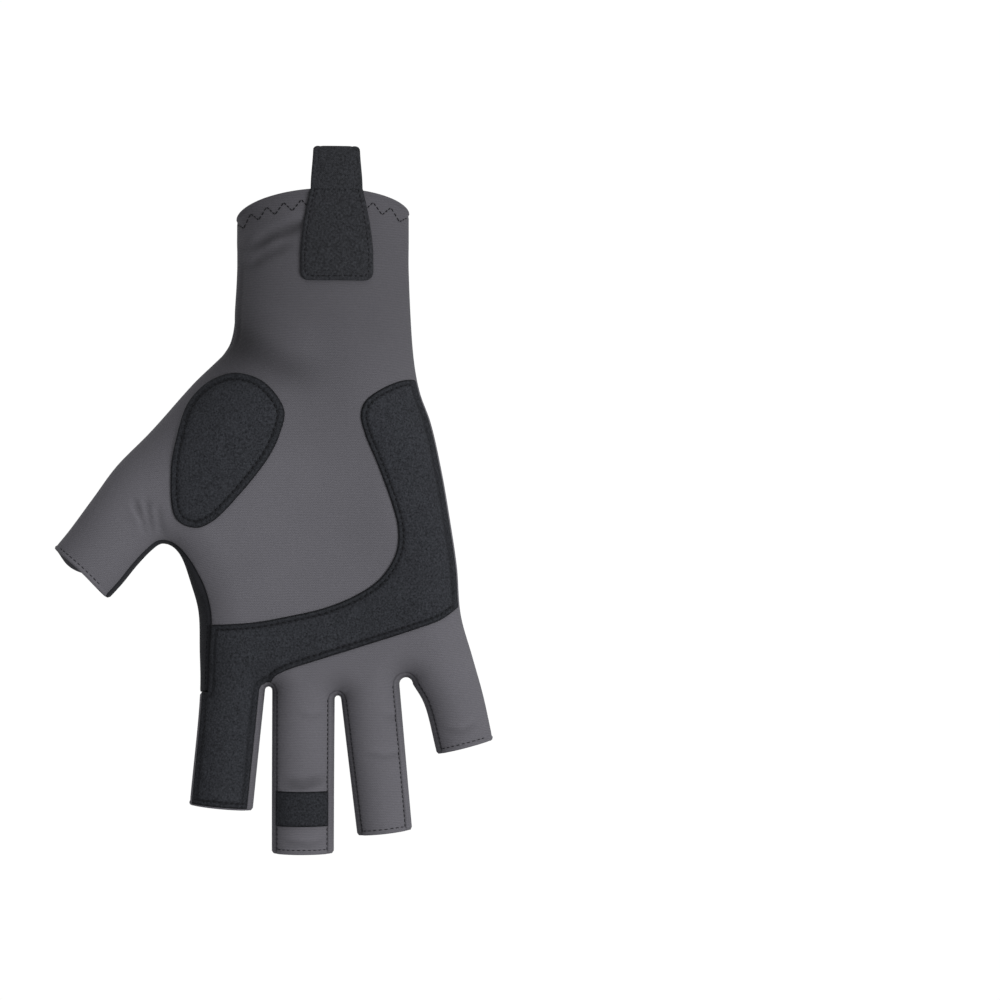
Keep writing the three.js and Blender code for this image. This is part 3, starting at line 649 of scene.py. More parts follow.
@dataclass
class Relief:
    """The soft folds, grooves and stitch lines pressed into a face of the glove."""

    creases: list[Crease] = field(default_factory=list)

    def add(self, path: Sequence[Sequence[float]], width: float, height: float, ridge: float = 0.0) -> None:
        """Adds a crease along a path, with a ridge of this share of its height beside it."""
        self.creases.append(Crease(np.array(path, float), width, height, ridge))

    def height(self, points: np.ndarray) -> np.ndarray:
        """How far the cloth stands out at points of the palm view.

        Args:
            points: Points (x, z).

        Returns:
            The height, negative in a groove.
        """
        total = np.zeros(len(points))
        for crease in self.creases:
            reach = crease.width * 4
            low, high = crease.path.min(0) - reach, crease.path.max(0) + reach
            near = np.flatnonzero(((points > low) & (points < high)).all(1))
            if not len(near):
                continue
            found = nearest_on_path(points[near], crease.path)
            lengths = path_lengths(crease.path)
            along = (lengths[found.segment] + np.diff(lengths)[found.segment] * found.share) / lengths[-1]
            fade = np.clip(np.minimum(along, 1 - along) * 3, 0.0, 1.0)
            across = found.distance * found.side
            profile = bump(across, crease.width)
            profile -= crease.ridge * bump(across - 1.7 * crease.width, 1.3 * crease.width)
            total[near] += crease.height * profile * ease(0.0, 1.0, fade)
        return total


class Patch(NamedTuple):
    """Nodes and three-sided cells that fill an outline of the palm view."""

    nodes: np.ndarray
    cells: list[tuple[int, ...]]


def inside(points: np.ndarray, outline: np.ndarray) -> np.ndarray:
    """Which points lie inside a closed outline.

    Args:
        points: Points (x, z).
        outline: The outline's corners.

    Returns:
        A mark for each point.
    """
    following = np.roll(outline, -1, axis=0)
    result = np.zeros(len(points), bool)
    for (ax, az), (bx, bz) in zip(outline, following):
        if az == bz:
            continue
        crosses = (az > points[:, 1]) != (bz > points[:, 1])
        result ^= crosses & (points[:, 0] < ax + (bx - ax) * (points[:, 1] - az) / (bz - az))
    return result


def fill_outline(outline: np.ndarray, rings: Sequence[float], spacing: float) -> Patch:
    """Fills a closed outline with cells that are finest along its edge.

    Args:
        outline: Corners of the outline, in order.
        rings: Distances in from the outline where rows of nodes follow it.
        spacing: Distance between nodes in the middle.

    Returns:
        The filled patch. Its first nodes are the outline's.
    """
    closed = np.concatenate([outline, outline[:1]])
    runs = np.roll(outline, -1, axis=0) - np.roll(outline, 1, axis=0)
    runs /= np.maximum(np.linalg.norm(runs, axis=1)[:, None], 1e-9)
    area = float((closed[:-1, 0] * closed[1:, 1] - closed[1:, 0] * closed[:-1, 1]).sum())
    inward = np.stack([-runs[:, 1], runs[:, 0]], axis=1) * math.copysign(1.0, area)
    groups = [(outline + inward * distance, distance * 0.9) for distance in rings]
    low, high = outline.min(0), outline.max(0)
    rise = spacing * math.sqrt(3) / 2
    grid_x, grid_z = np.meshgrid(np.arange(low[0], high[0], spacing), np.arange(low[1], high[1], rise))
    grid_x[1::2] += spacing / 2
    groups.append((np.stack([grid_x.ravel(), grid_z.ravel()], axis=1), rings[-1] + spacing * 0.5))
    kept = [outline]
    for points, least in groups:
        points = points[inside(points, outline)]
        kept.append(points[nearest_on_path(points, closed).distance >= least])
    nodes = np.concatenate(kept)
    loop = list(range(len(outline)))
    result = geometry.delaunay_2d_cdt([Vector(p) for p in nodes], [], [loop], 1, 1e-5)
    origins = [ids[0] if ids else -1 for ids in result[3]]
    filled = np.array([tuple(v) for v in result[0]])
    order = np.full(len(filled), -1)
    ranks = np.argsort([o if o >= 0 else len(nodes) for o in origins], kind="stable")
    order[ranks] = np.arange(len(filled))
    cells = [tuple(int(order[i]) for i in face) for face in result[2]]
    return Patch(filled[ranks], cells)


def edge_distances(points: np.ndarray, edge: np.ndarray, reach: float) -> np.ndarray:
    """Distance of points in space from an edge, or the reach where it is further.

    Args:
        points: Points in space.
        edge: The edge as a path in space.
        reach: The greatest distance that matters.

    Returns:
        The distances.
    """
    result = np.full(len(points), reach)
    low, high = edge.min(0) - reach, edge.max(0) + reach
    near = np.flatnonzero(((points > low) & (points < high)).all(1))
    coarse = np.full(len(near), np.inf)
    for first in range(0, len(edge), 400):
        section = edge[first : first + 401]
        if len(section) > 1:
            coarse = np.minimum(coarse, nearest_on_path(points[near], section).distance)
    result[near] = np.minimum(coarse, reach)
    return result


def quarter(distance: np.ndarray, radius: float) -> np.ndarray:
    """Drop of a rounded edge: the radius at distance 0, nothing from the radius inwards."""
    inward = np.clip(1 - distance / radius, 0.0, 1.0)
    return radius * (1 - np.sqrt(1 - inward**2))


def outward_cells(
    points: np.ndarray, normals: np.ndarray, cells: Sequence[tuple[int, ...]]
) -> list[tuple[int, ...]]:
    """Turns cells so that they face the way of the normals.

    Args:
        points: Nodes in space.
        normals: The way out at each node.
        cells: Rings of node numbers.

    Returns:
        The turned cells.
    """
    turned = []
    for cell in cells:
        a, b, c = points[cell[0]], points[cell[1]], points[cell[2]]
        faces_out = np.dot(np.cross(b - a, c - a), normals[cell[0]]) >= 0
        turned.append(cell if faces_out else tuple(reversed(cell)))
    return turned


@dataclass
class Cloth:
    """A piece of cloth: nodes on the glove's surface, their normals and the cells between them."""

    points: np.ndarray
    normals: np.ndarray
    cells: list[tuple[int, ...]]
    weave: np.ndarray
    shade: np.ndarray

    @classmethod
    def over(
        cls, form: HandForm, nodes: np.ndarray, face: Face, cells: list[tuple[int, ...]]
    ) -> "Cloth":
        """Lays nodes of the palm view on the glove's surface.

        Args:
            form: The hand's form.
            nodes: Points (x, z).
            face: Palm or back.
            cells: Rings of node numbers.

        Returns:
            The cloth, facing outwards.
        """
        points, normals, fall = form.surface(nodes, face)
        aside = normals[:, [0, 2]]
        aside /= np.maximum(np.linalg.norm(aside, axis=1)[:, None], 1e-6)
        weave = nodes + aside * fall[:, None]
        votes = sum(
            np.dot(np.cross(points[b] - points[a], points[c] - points[a]), normals[a])
            for a, b, c in (cell[:3] for cell in cells[:: max(1, len(cells) // 400)])
        )
        turned = cells if votes > 0 else [tuple(reversed(cell)) for cell in cells]
        return cls(points, normals, turned, weave, np.ones(len(nodes)))

    def wall(self, name: str, outer: np.ndarray, inner: np.ndarray) -> bpy.types.Object:
        """Makes a closed wall between two distances out from the surface.

        Args:
            name: The piece's name.
            outer: Distance of the outer side at each node.
            inner: Distance of the inner side at each node.

        Returns:
            The new piece, smooth, with its weave and its painted shade as attributes.
        """
        count = len(self.points)
        sides = [self.points + self.normals * out[:, None] for out in (outer, inner)]
        vertices = np.concatenate(sides)
        uses: set[tuple[int, int]] = set()
        for cell in self.cells:
            uses.update(zip(cell, (*cell[1:], cell[0])))
        rim = [(a, b) for a, b in uses if (b, a) not in uses]
        faces = list(self.cells)
        faces += [tuple(count + i for i in reversed(cell)) for cell in self.cells]
        faces += [(b, a, count + a, count + b) for a, b in rim]
        mesh = bpy.data.meshes.new(name)
        mesh.from_pydata((vertices * METRES).tolist(), [], faces)
        mesh.validate()
        mesh.shade_smooth()
        weave = mesh.attributes.new("weave", "FLOAT_VECTOR", "POINT")
        flat = np.column_stack([self.weave, np.zeros(count)]) * METRES
        weave.data.foreach_set("vector", np.tile(flat, (2, 1)).astype(np.float32).ravel())
        # Painted shade: a factor on the colour that stands in for shadow, and for a little light on fold
        # ridges
        shade = mesh.attributes.new("shade", "FLOAT", "POINT")
        shade.data.foreach_set("value", np.tile(self.shade, 2).astype(np.float32))
        piece = bpy.data.objects.new(name, mesh)
        bpy.context.scene.collection.objects.link(piece)
        return piece


def grid_cells(rows: int, columns: int) -> list[tuple[int, ...]]:
    """Four-sided cells of a grid of nodes numbered row by row.

    Args:
        rows: How many rows.
        columns: Nodes in a row.

    Returns:
        The cells.
    """
    return [
        (r * columns + c, r * columns + c + 1, (r + 1) * columns + c + 1, (r + 1) * columns + c)
        for r in range(rows - 1)
        for c in range(columns - 1)
    ]


def triangle_count(piece: bpy.types.Object) -> int:
    """How many triangles a piece has."""
    return sum(len(face.vertices) - 2 for face in piece.data.polygons)


def cloth_area(piece: bpy.types.Object) -> float:
    """Half the surface of a closed wall, in square metres."""
    return sum(face.area for face in piece.data.polygons) / 2


class NodeWriter:
    """Adds nodes to a tree and joins them."""

    def __init__(self, tree: bpy.types.NodeTree) -> None:
        """Takes the tree that is written."""
        self.tree = tree

    def link(self, source: Any, target: Any) -> None:
        """Joins an output to an input, or sets the input to a plain value.

        Args:
            source: An output or a value.
            target: The input.
        """
        if isinstance(source, bpy.types.NodeSocket):
            self.tree.links.new(source, target)
        else:
            target.default_value = source

    def add(
        self, kind: str, inputs: dict[str | int, Any] | None = None, **settings: Any
    ) -> bpy.types.Node:
        """Adds a node with these inputs and settings.

        Args:
            kind: The node's type.
            inputs: What its inputs get, by name or number.
            settings: Its own settings.

        Returns:
            The node.
        """
        node = self.tree.nodes.new(kind)
        for key, value in settings.items():
            setattr(node, key, value)
        for key, value in (inputs or {}).items():
            self.link(value, node.inputs[key])
        return node

    def math(self, operation: str, *values: Any) -> Any:
        """A number worked out from others."""
        return self.add("ShaderNodeMath", dict(enumerate(values)), operation=operation).outputs["Value"]


class Tree(NodeWriter):
    """A shader node tree that is written from the surface backwards."""

    def __init__(self, name: str, shader: str = "ShaderNodeBsdfPrincipled") -> None:
        """Makes an empty material with a surface shader.

        Args:
            name: The material's name.
            shader: The surface shader's type.
        """
        self.material = bpy.data.materials.new(name)
        self.material.use_nodes = True
        super().__init__(self.material.node_tree)
        self.tree.nodes.clear()
        self.shader = self.add(shader)
        self.add("ShaderNodeOutputMaterial", {"Surface": self.shader.outputs[0]})

    def noise(self, scale: float, detail: float = 2.0, roughness: float = 0.5) -> Any:
        """Noise in object coordinates, in cycles for each metre.

        Args:
            scale: The cycles.
            detail: How many finer layers.
            roughness: How strong they are.

        Returns:
            The node's output.
        """
        place = self.add("ShaderNodeTexCoord").outputs["Object"]
        inputs = {"Vector": place, "Scale": scale, "Detail": detail, "Roughness": roughness}
        return self.add("ShaderNodeTexNoise", inputs).outputs["Fac"]

    def attribute(self, name: str, output: str) -> Any:
        """An attribute of the mesh."""
        return self.add("ShaderNodeAttribute", attribute_name=name).outputs[output]

    def scaled(self, colour: Any, factor: Any) -> Any:
        """A colour times a number."""
        inputs = {0: colour, "Scale": factor}
        return self.add("ShaderNodeVectorMath", inputs, operation="SCALE").outputs["Vector"]

    def surface(self, **inputs: Any) -> None:
        """Sets inputs of the surface shader, with underscores for spaces."""
        for key, value in inputs.items():
            self.link(value, self.shader.inputs[key.replace("_", " ")])

    def bumped(self, height: Any, distance: float, strength: float) -> None:
        """Raises the surface by a height, in metres."""
        inputs = {"Height": height, "Distance": distance, "Strength": strength}
        self.link(self.add("ShaderNodeBump", inputs).outputs["Normal"], self.shader.inputs["Normal"])


@dataclass(frozen=True)
class KnitFinish:
    """A jersey knit: rows of small slanted loops, with a dull sheen."""

    name: str
    colour: tuple[float, float, float]
    course: float = 0.9
    wale: float = 0.85
    loop_contrast: float = 0.16
    mottle: float = 0.1
    relief: float = 0.07

    def material(self) -> bpy.types.Material:
        """Builds the material.

        Returns:
            The material.
        """
        tree = Tree(self.name)
        parts = tree.add("ShaderNodeSeparateXYZ", {"Vector": tree.attribute("weave", "Vector")})
        wales = tree.math("DIVIDE", parts.outputs["X"], self.wale * METRES)
        courses = tree.math("DIVIDE", parts.outputs["Y"], self.course * METRES)
        slant = tree.math("PINGPONG", wales, 0.5)
        uneven = tree.math("MULTIPLY", tree.noise(260.0, 0.0), 0.9)
        phase = tree.math("ADD", tree.math("ADD", courses, tree.math("MULTIPLY", slant, 0.9)), uneven)
        rows = tree.math("SINE", tree.math("MULTIPLY", phase, math.tau))
        loops = tree.math("MULTIPLY_ADD", rows, 0.5, 0.5)
        fuzz = tree.noise(2600.0, 1.0, 0.7)
        blotches = tree.noise(45.0, 1.0, 0.6)
        patchy = tree.math("MULTIPLY_ADD", blotches, self.mottle, 1 - self.mottle / 2)
        factor = tree.math("MULTIPLY_ADD", loops, self.loop_contrast, 1 - self.loop_contrast * 0.5)
        factor = tree.math("MULTIPLY", factor, patchy)
        factor = tree.math("MULTIPLY", factor, tree.math("MULTIPLY_ADD", fuzz, 0.5, 0.75))
        # Painted shade: the colour is darkened by the mesh's shade attribute
        factor = tree.math("MULTIPLY", factor, tree.attribute("shade", "Fac"))
        colour = tree.scaled(self.colour, factor)
        tree.surface(Base_Color=colour, Roughness=0.92, Specular_IOR_Level=0.18)
        tree.bumped(tree.math("MULTIPLY_ADD", fuzz, 0.45, loops), self.relief * METRES, 0.7)
        return tree.material


@dataclass(frozen=True)
class SuedeFinish:
    """A brushed suede: a fine speckled nap, darker where the brush went against it."""

    name: str
    colour: tuple[float, float, float]
    grain: float = 1500.0
    speckle: float = 3.0
    relief: float = 0.2

    def material(self) -> bpy.types.Material:
        """Builds the material.

        Returns:
            The material.
        """
        tree = Tree(self.name)
        nap = tree.noise(self.grain, 2.0, 0.8)
        strokes = tree.noise(70.0, 1.0, 0.55)
        factor = tree.math("MULTIPLY_ADD", nap, self.speckle, 1 - self.speckle / 2)
        factor = tree.math("MAXIMUM", factor, 0.25)
        factor = tree.math("MULTIPLY", factor, tree.math("MULTIPLY_ADD", strokes, 0.24, 0.88))
        # Painted shade: the colour is darkened by the mesh's shade attribute
        factor = tree.math("MULTIPLY", factor, tree.attribute("shade", "Fac"))
        colour = tree.scaled(self.colour, factor)
        tree.surface(Base_Color=colour, Roughness=0.97, Specular_IOR_Level=0.12)
        tree.bumped(nap, self.relief * METRES, 0.8)
        return tree.material


@dataclass(frozen=True)
class WebbingFinish:
    """A close plain weave, for the strap."""

    name: str
    colour: tuple[float, float, float]
    pitch: float = 0.75

    def material(self) -> bpy.types.Material:
        """Builds the material.

        Returns:
            The material.
        """
        tree = Tree(self.name)
        parts = tree.add("ShaderNodeSeparateXYZ", {"Vector": tree.attribute("weave", "Vector")})
        rate = math.tau / (self.pitch * METRES)
        turns = [tree.math("MULTIPLY", parts.outputs[axis], rate) for axis in "XY"]
        weave = tree.math("MULTIPLY", tree.math("SINE", turns[0]), tree.math("SINE", turns[1]))
        fuzz = tree.noise(1400.0, 2.0, 0.8)
        factor = tree.math("MULTIPLY_ADD", weave, 0.15, -0.5)
        factor = tree.math("MAXIMUM", tree.math("MULTIPLY_ADD", fuzz, 3.0, factor), 0.25)
        colour = tree.scaled(self.colour, factor)
        tree.surface(Base_Color=colour, Roughness=0.95, Specular_IOR_Level=0.15)
        tree.bumped(tree.math("MULTIPLY_ADD", weave, 0.3, fuzz), 0.12 * METRES, 0.7)
        return tree.material


@dataclass(frozen=True)
class ThreadFinish:
    """Twisted sewing thread."""

    name: str
    colour: tuple[float, float, float]

    def material(self) -> bpy.types.Material:
        """Builds the material.

        Returns:
            The material.
        """
        tree = Tree(self.name)
        twist = tree.noise(3600.0, 2.0, 0.6)
        colour = tree.scaled((*self.colour,), tree.math("MULTIPLY_ADD", twist, 0.8, 0.6))
        tree.surface(Base_Color=colour, Roughness=0.75, Specular_IOR_Level=0.2)
        tree.bumped(twist, 0.05 * METRES, 0.6)
        return tree.material


@dataclass(frozen=True)
class PrintFinish:
    """A rubbery transfer print that lets the knit show through a little."""

    name: str
    colour: tuple[float, float, float]

    def material(self) -> bpy.types.Material:
        """Builds the material.

        Returns:
            The material.
        """
        tree = Tree(self.name)
        grain = tree.noise(1500.0, 3.0, 0.6)
        colour = tree.scaled((*self.colour,), tree.math("MULTIPLY_ADD", grain, 0.16, 0.92))
        tree.surface(Base_Color=colour, Roughness=0.5, Specular_IOR_Level=0.35)
        tree.bumped(grain, 0.05 * METRES, 0.5)
        return tree.material


@dataclass(frozen=True)
class BackdropFinish:
    """The studio's white backdrop: a glowing surface, dimmer in front of the glove and brighter behind it,
    that lights the glove and shows no shadows.
    """

    name: str
    front_glow: float
    rear_glow: float

    def material(self) -> bpy.types.Material:
        """Builds the material.

        Returns:
            The material.
        """
        tree = Tree(self.name, "ShaderNodeEmission")
        # The backdrop glows: an emitter that lights the glove, dimmer in front and brighter behind
        place = tree.add("ShaderNodeTexCoord").outputs["Object"]
        depth = tree.add("ShaderNodeSeparateXYZ", {"Vector": place}).outputs["Y"]
        settings = {"From Min": 0.2, "From Max": 0.9, "To Min": self.front_glow, "To Max": self.rear_glow}
        glow = tree.add("ShaderNodeMapRange", {"Value": depth, **settings}).outputs["Result"]
        tree.surface(Color=(1.0, 1.0, 1.0, 1.0), Strength=glow)
        return tree.material


@dataclass
class Wardrobe:
    """All the finishes of the glove, made once."""

    def __post_init__(self) -> None:
        """Builds the materials."""
        self.shell = KnitFinish("shell_knit", (0.114, 0.111, 0.125)).material()
        self.web = KnitFinish("web_knit", (0.0205, 0.0212, 0.025), 0.7, 0.7, 0.22, 0.2).material()
        self.suede = SuedeFinish("patch_suede", (0.0262, 0.0278, 0.0325)).material()
        self.webbing = WebbingFinish("tab_webbing", (0.0235, 0.0245, 0.028)).material()
        self.thread = ThreadFinish("dark_thread", (0.007, 0.007, 0.009)).material()
        self.print = PrintFinish("lime_print", (0.56, 0.68, 0.05)).material()


@dataclass
class StitchRow:
    """Holes of a row of stitches on the cloth, with the way out of the cloth at each."""

    holes: np.ndarray
    outward: np.ndarray


class StitchMachine(NodeWriter):
    """A Geometry Nodes tree that lays one rounded stitch on each edge of a row of holes."""

    INPUTS = (
        ("Thread radius", "NodeSocketFloat"),
        ("Filled share", "NodeSocketFloat"),
        ("Unevenness", "NodeSocketFloat"),
        ("Seed", "NodeSocketInt"),
        ("Thread", "NodeSocketMaterial"),
    )

    def __init__(self) -> None:
        """Builds the tree."""
        super().__init__(bpy.data.node_groups.new("stitches", "GeometryNodeTree"))
        face = self.tree.interface
        face.new_socket("Rows", in_out="INPUT", socket_type="NodeSocketGeometry")
        for name, kind in self.INPUTS:
            face.new_socket(name, in_out="INPUT", socket_type=kind)
        face.new_socket("Stitches", in_out="OUTPUT", socket_type="NodeSocketGeometry")
        given = self.add("NodeGroupInput").outputs
        run, outward = self._vector("run"), self._vector("outward")
        places = self.add("GeometryNodeMeshToPoints", {"Mesh": given["Rows"]}, mode="EDGES")
        along = self.add("FunctionNodeAlignRotationToVector", {"Vector": run}, axis="X")
        lean = {"Rotation": along.outputs["Rotation"], "Vector": outward}
        upright = self.add("FunctionNodeAlignRotationToVector", lean, axis="Z", pivot_axis="X")
        length = self.add("ShaderNodeVectorMath", {0: run}, operation="LENGTH")
        draw = {2: self.math("SUBTRACT", 1.0, given["Unevenness"]), 3: 1.0, "Seed": given["Seed"]}
        chance = self.add("FunctionNodeRandomValue", draw, data_type="FLOAT")
        filled = self.math("MULTIPLY", length.outputs["Value"], given["Filled share"])
        half = self.math("MULTIPLY", self.math("MULTIPLY", filled, 0.5), chance.outputs[1])
        radius = given["Thread radius"]
        size = self.add("ShaderNodeCombineXYZ", {"X": half, "Y": radius, "Z": radius})
        bead = self.add("GeometryNodeMeshUVSphere", {"Segments": 8, "Rings": 5})
        laid = {
            "Points": places.outputs["Points"],
            "Instance": bead.outputs["Mesh"],
            "Rotation": upright.outputs["Rotation"],
            "Scale": size.outputs["Vector"],
        }
        copies = self.add("GeometryNodeInstanceOnPoints", laid)
        whole = self.add("GeometryNodeRealizeInstances", {"Geometry": copies.outputs["Instances"]})
        smooth = self.add("GeometryNodeSetShadeSmooth", {"Geometry": whole.outputs["Geometry"]})
        dye = {"Geometry": smooth.outputs["Geometry"], "Material": given["Thread"]}
        dyed = self.add("GeometryNodeSetMaterial", dye)
        self.add("NodeGroupOutput", {"Stitches": dyed.outputs["Geometry"]})

    def _vector(self, name: str) -> Any:
        """A vector that the edges carry."""
        node = self.add("GeometryNodeInputNamedAttribute", {"Name": name}, data_type="FLOAT_VECTOR")
        return node.outputs["Attribute"]

    def sew(
        self,
        name: str,
        rows: Sequence[StitchRow],
        thread: bpy.types.Material,
        radius: float = 0.2,
        filled: float = 0.8,
        seed: int = 1,
    ) -> bpy.types.Object:
        """Sews rows of stitches into one plain mesh.

        Args:
            name: The piece's name.
            rows: The rows of holes.
            thread: The thread's material.
            radius: The thread's radius.
            filled: Share of the way between two holes that a stitch covers.
            seed: Seed of the unevenness.

        Returns:
            The stitches as one piece.
        """
        holes, edges, runs, outward = [], [], [], []
        for row in rows:
            first = len(holes)
            holes += (row.holes * METRES).tolist()
            edges += [(first + i, first + i + 1) for i in range(len(row.holes) - 1)]
            runs.append(np.diff(row.holes, axis=0) * METRES)
            outward.append((row.outward[:-1] + row.outward[1:]) / 2)
        mesh = bpy.data.meshes.new(name)
        mesh.from_pydata(holes, edges, [])
        for key, parts in (("run", runs), ("outward", outward)):
            values = np.concatenate(parts).astype(np.float32)
            mesh.attributes.new(key, "FLOAT_VECTOR", "EDGE").data.foreach_set("vector", values.ravel())
        piece = bpy.data.objects.new(name, mesh)
        bpy.context.scene.collection.objects.link(piece)
        modifier = piece.modifiers.new("stitches", "NODES")
        modifier.node_group = self.tree
        values = (radius * METRES, filled, 0.12, seed, thread)
        sockets = {item.name: item.identifier for item in self.tree.interface.items_tree}
        for (key, _), value in zip(self.INPUTS, values):
            modifier[sockets[key]] = value
        graph = bpy.context.evaluated_depsgraph_get()
        sewn = bpy.data.meshes.new_from_object(piece.evaluated_get(graph))
        piece.modifiers.clear()
        piece.data = sewn
        for key in ("run", "outward"):
            if key in sewn.attributes:
                sewn.attributes.remove(sewn.attributes[key])
        return piece


class Cut(NamedTuple):
    """A flat pattern piece: its greatest width and length, and its area."""

    width: float
    length: float
    area: float


@dataclass
class Workshop:
    """What every sub-assembly needs: the hand's form, its relief, the finishes and the stitches."""

    form: HandForm
    seams: WebSeams
    relief: dict[Face, Relief]
    wardrobe: Wardrobe
    machine: StitchMachine

    def lift(self, nodes: np.ndarray, face: Face, height: float) -> tuple[np.ndarray, np.ndarray]:
        """Points on the creased cloth or a height over it, with their normals."""
        points, normals, _ = self.form.surface(nodes, face)
        return points + normals * (self.relief[face].height(nodes) + height)[:, None], normals

    def stitch_row(self, path: np.ndarray, face: Face, height: float, pitch: float) -> StitchRow:
        """A row of holes along a path of the palm view.

        Args:
            path: The path, as points (x, z).
            face: Palm or back.
            height: How high the thread lies over the cloth.
            pitch: Distance between two holes.

        Returns:
            The row.
        """
        dense = resample(path, max(3, math.ceil(path_lengths(path)[-1] / 0.5)))
        points, normals = self.lift(dense, face, height)
        lengths = path_lengths(points)
        wanted = np.linspace(0.0, lengths[-1], max(2, round(lengths[-1] / pitch) + 1))
        pick = lambda table: np.stack([np.interp(wanted, lengths, column) for column in table.T], axis=1)
        return StitchRow(pick(points), pick(normals))

    def dress(
        self, piece: bpy.types.Object, material: bpy.types.Material, slot: Slot, *nodes: str
    ) -> None:
        """Gives a piece its material and body, and hides the CAD nodes that it stands for.

        Args:
            piece: The piece.
            material: Its finish.
            slot: Not used.
            nodes: The CAD nodes.
        """
        if not piece.data.materials:
            piece.data.materials.append(material)
        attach(piece, BODY)
        if nodes:
            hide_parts(*nodes)
        area = cloth_area(piece) * 1e6
        LOG.info("%s: %d triangles, %.0f mm2 of cloth", piece.name, triangle_count(piece), area)

    @staticmethod
    def declare(piece: bpy.types.Object, cut: Cut, *extras: bpy.types.Object) -> None:
        """Takes a piece, its flat cut and the pieces sewn or printed on it, and does nothing with them."""


def seam_inset(inset: np.ndarray) -> np.ndarray:
    """Where a panel's edge lies beside a seam, a hair in from it."""
    return inset + 0.0004 + 0.03 * np.clip(inset, 0.0, 1.0)


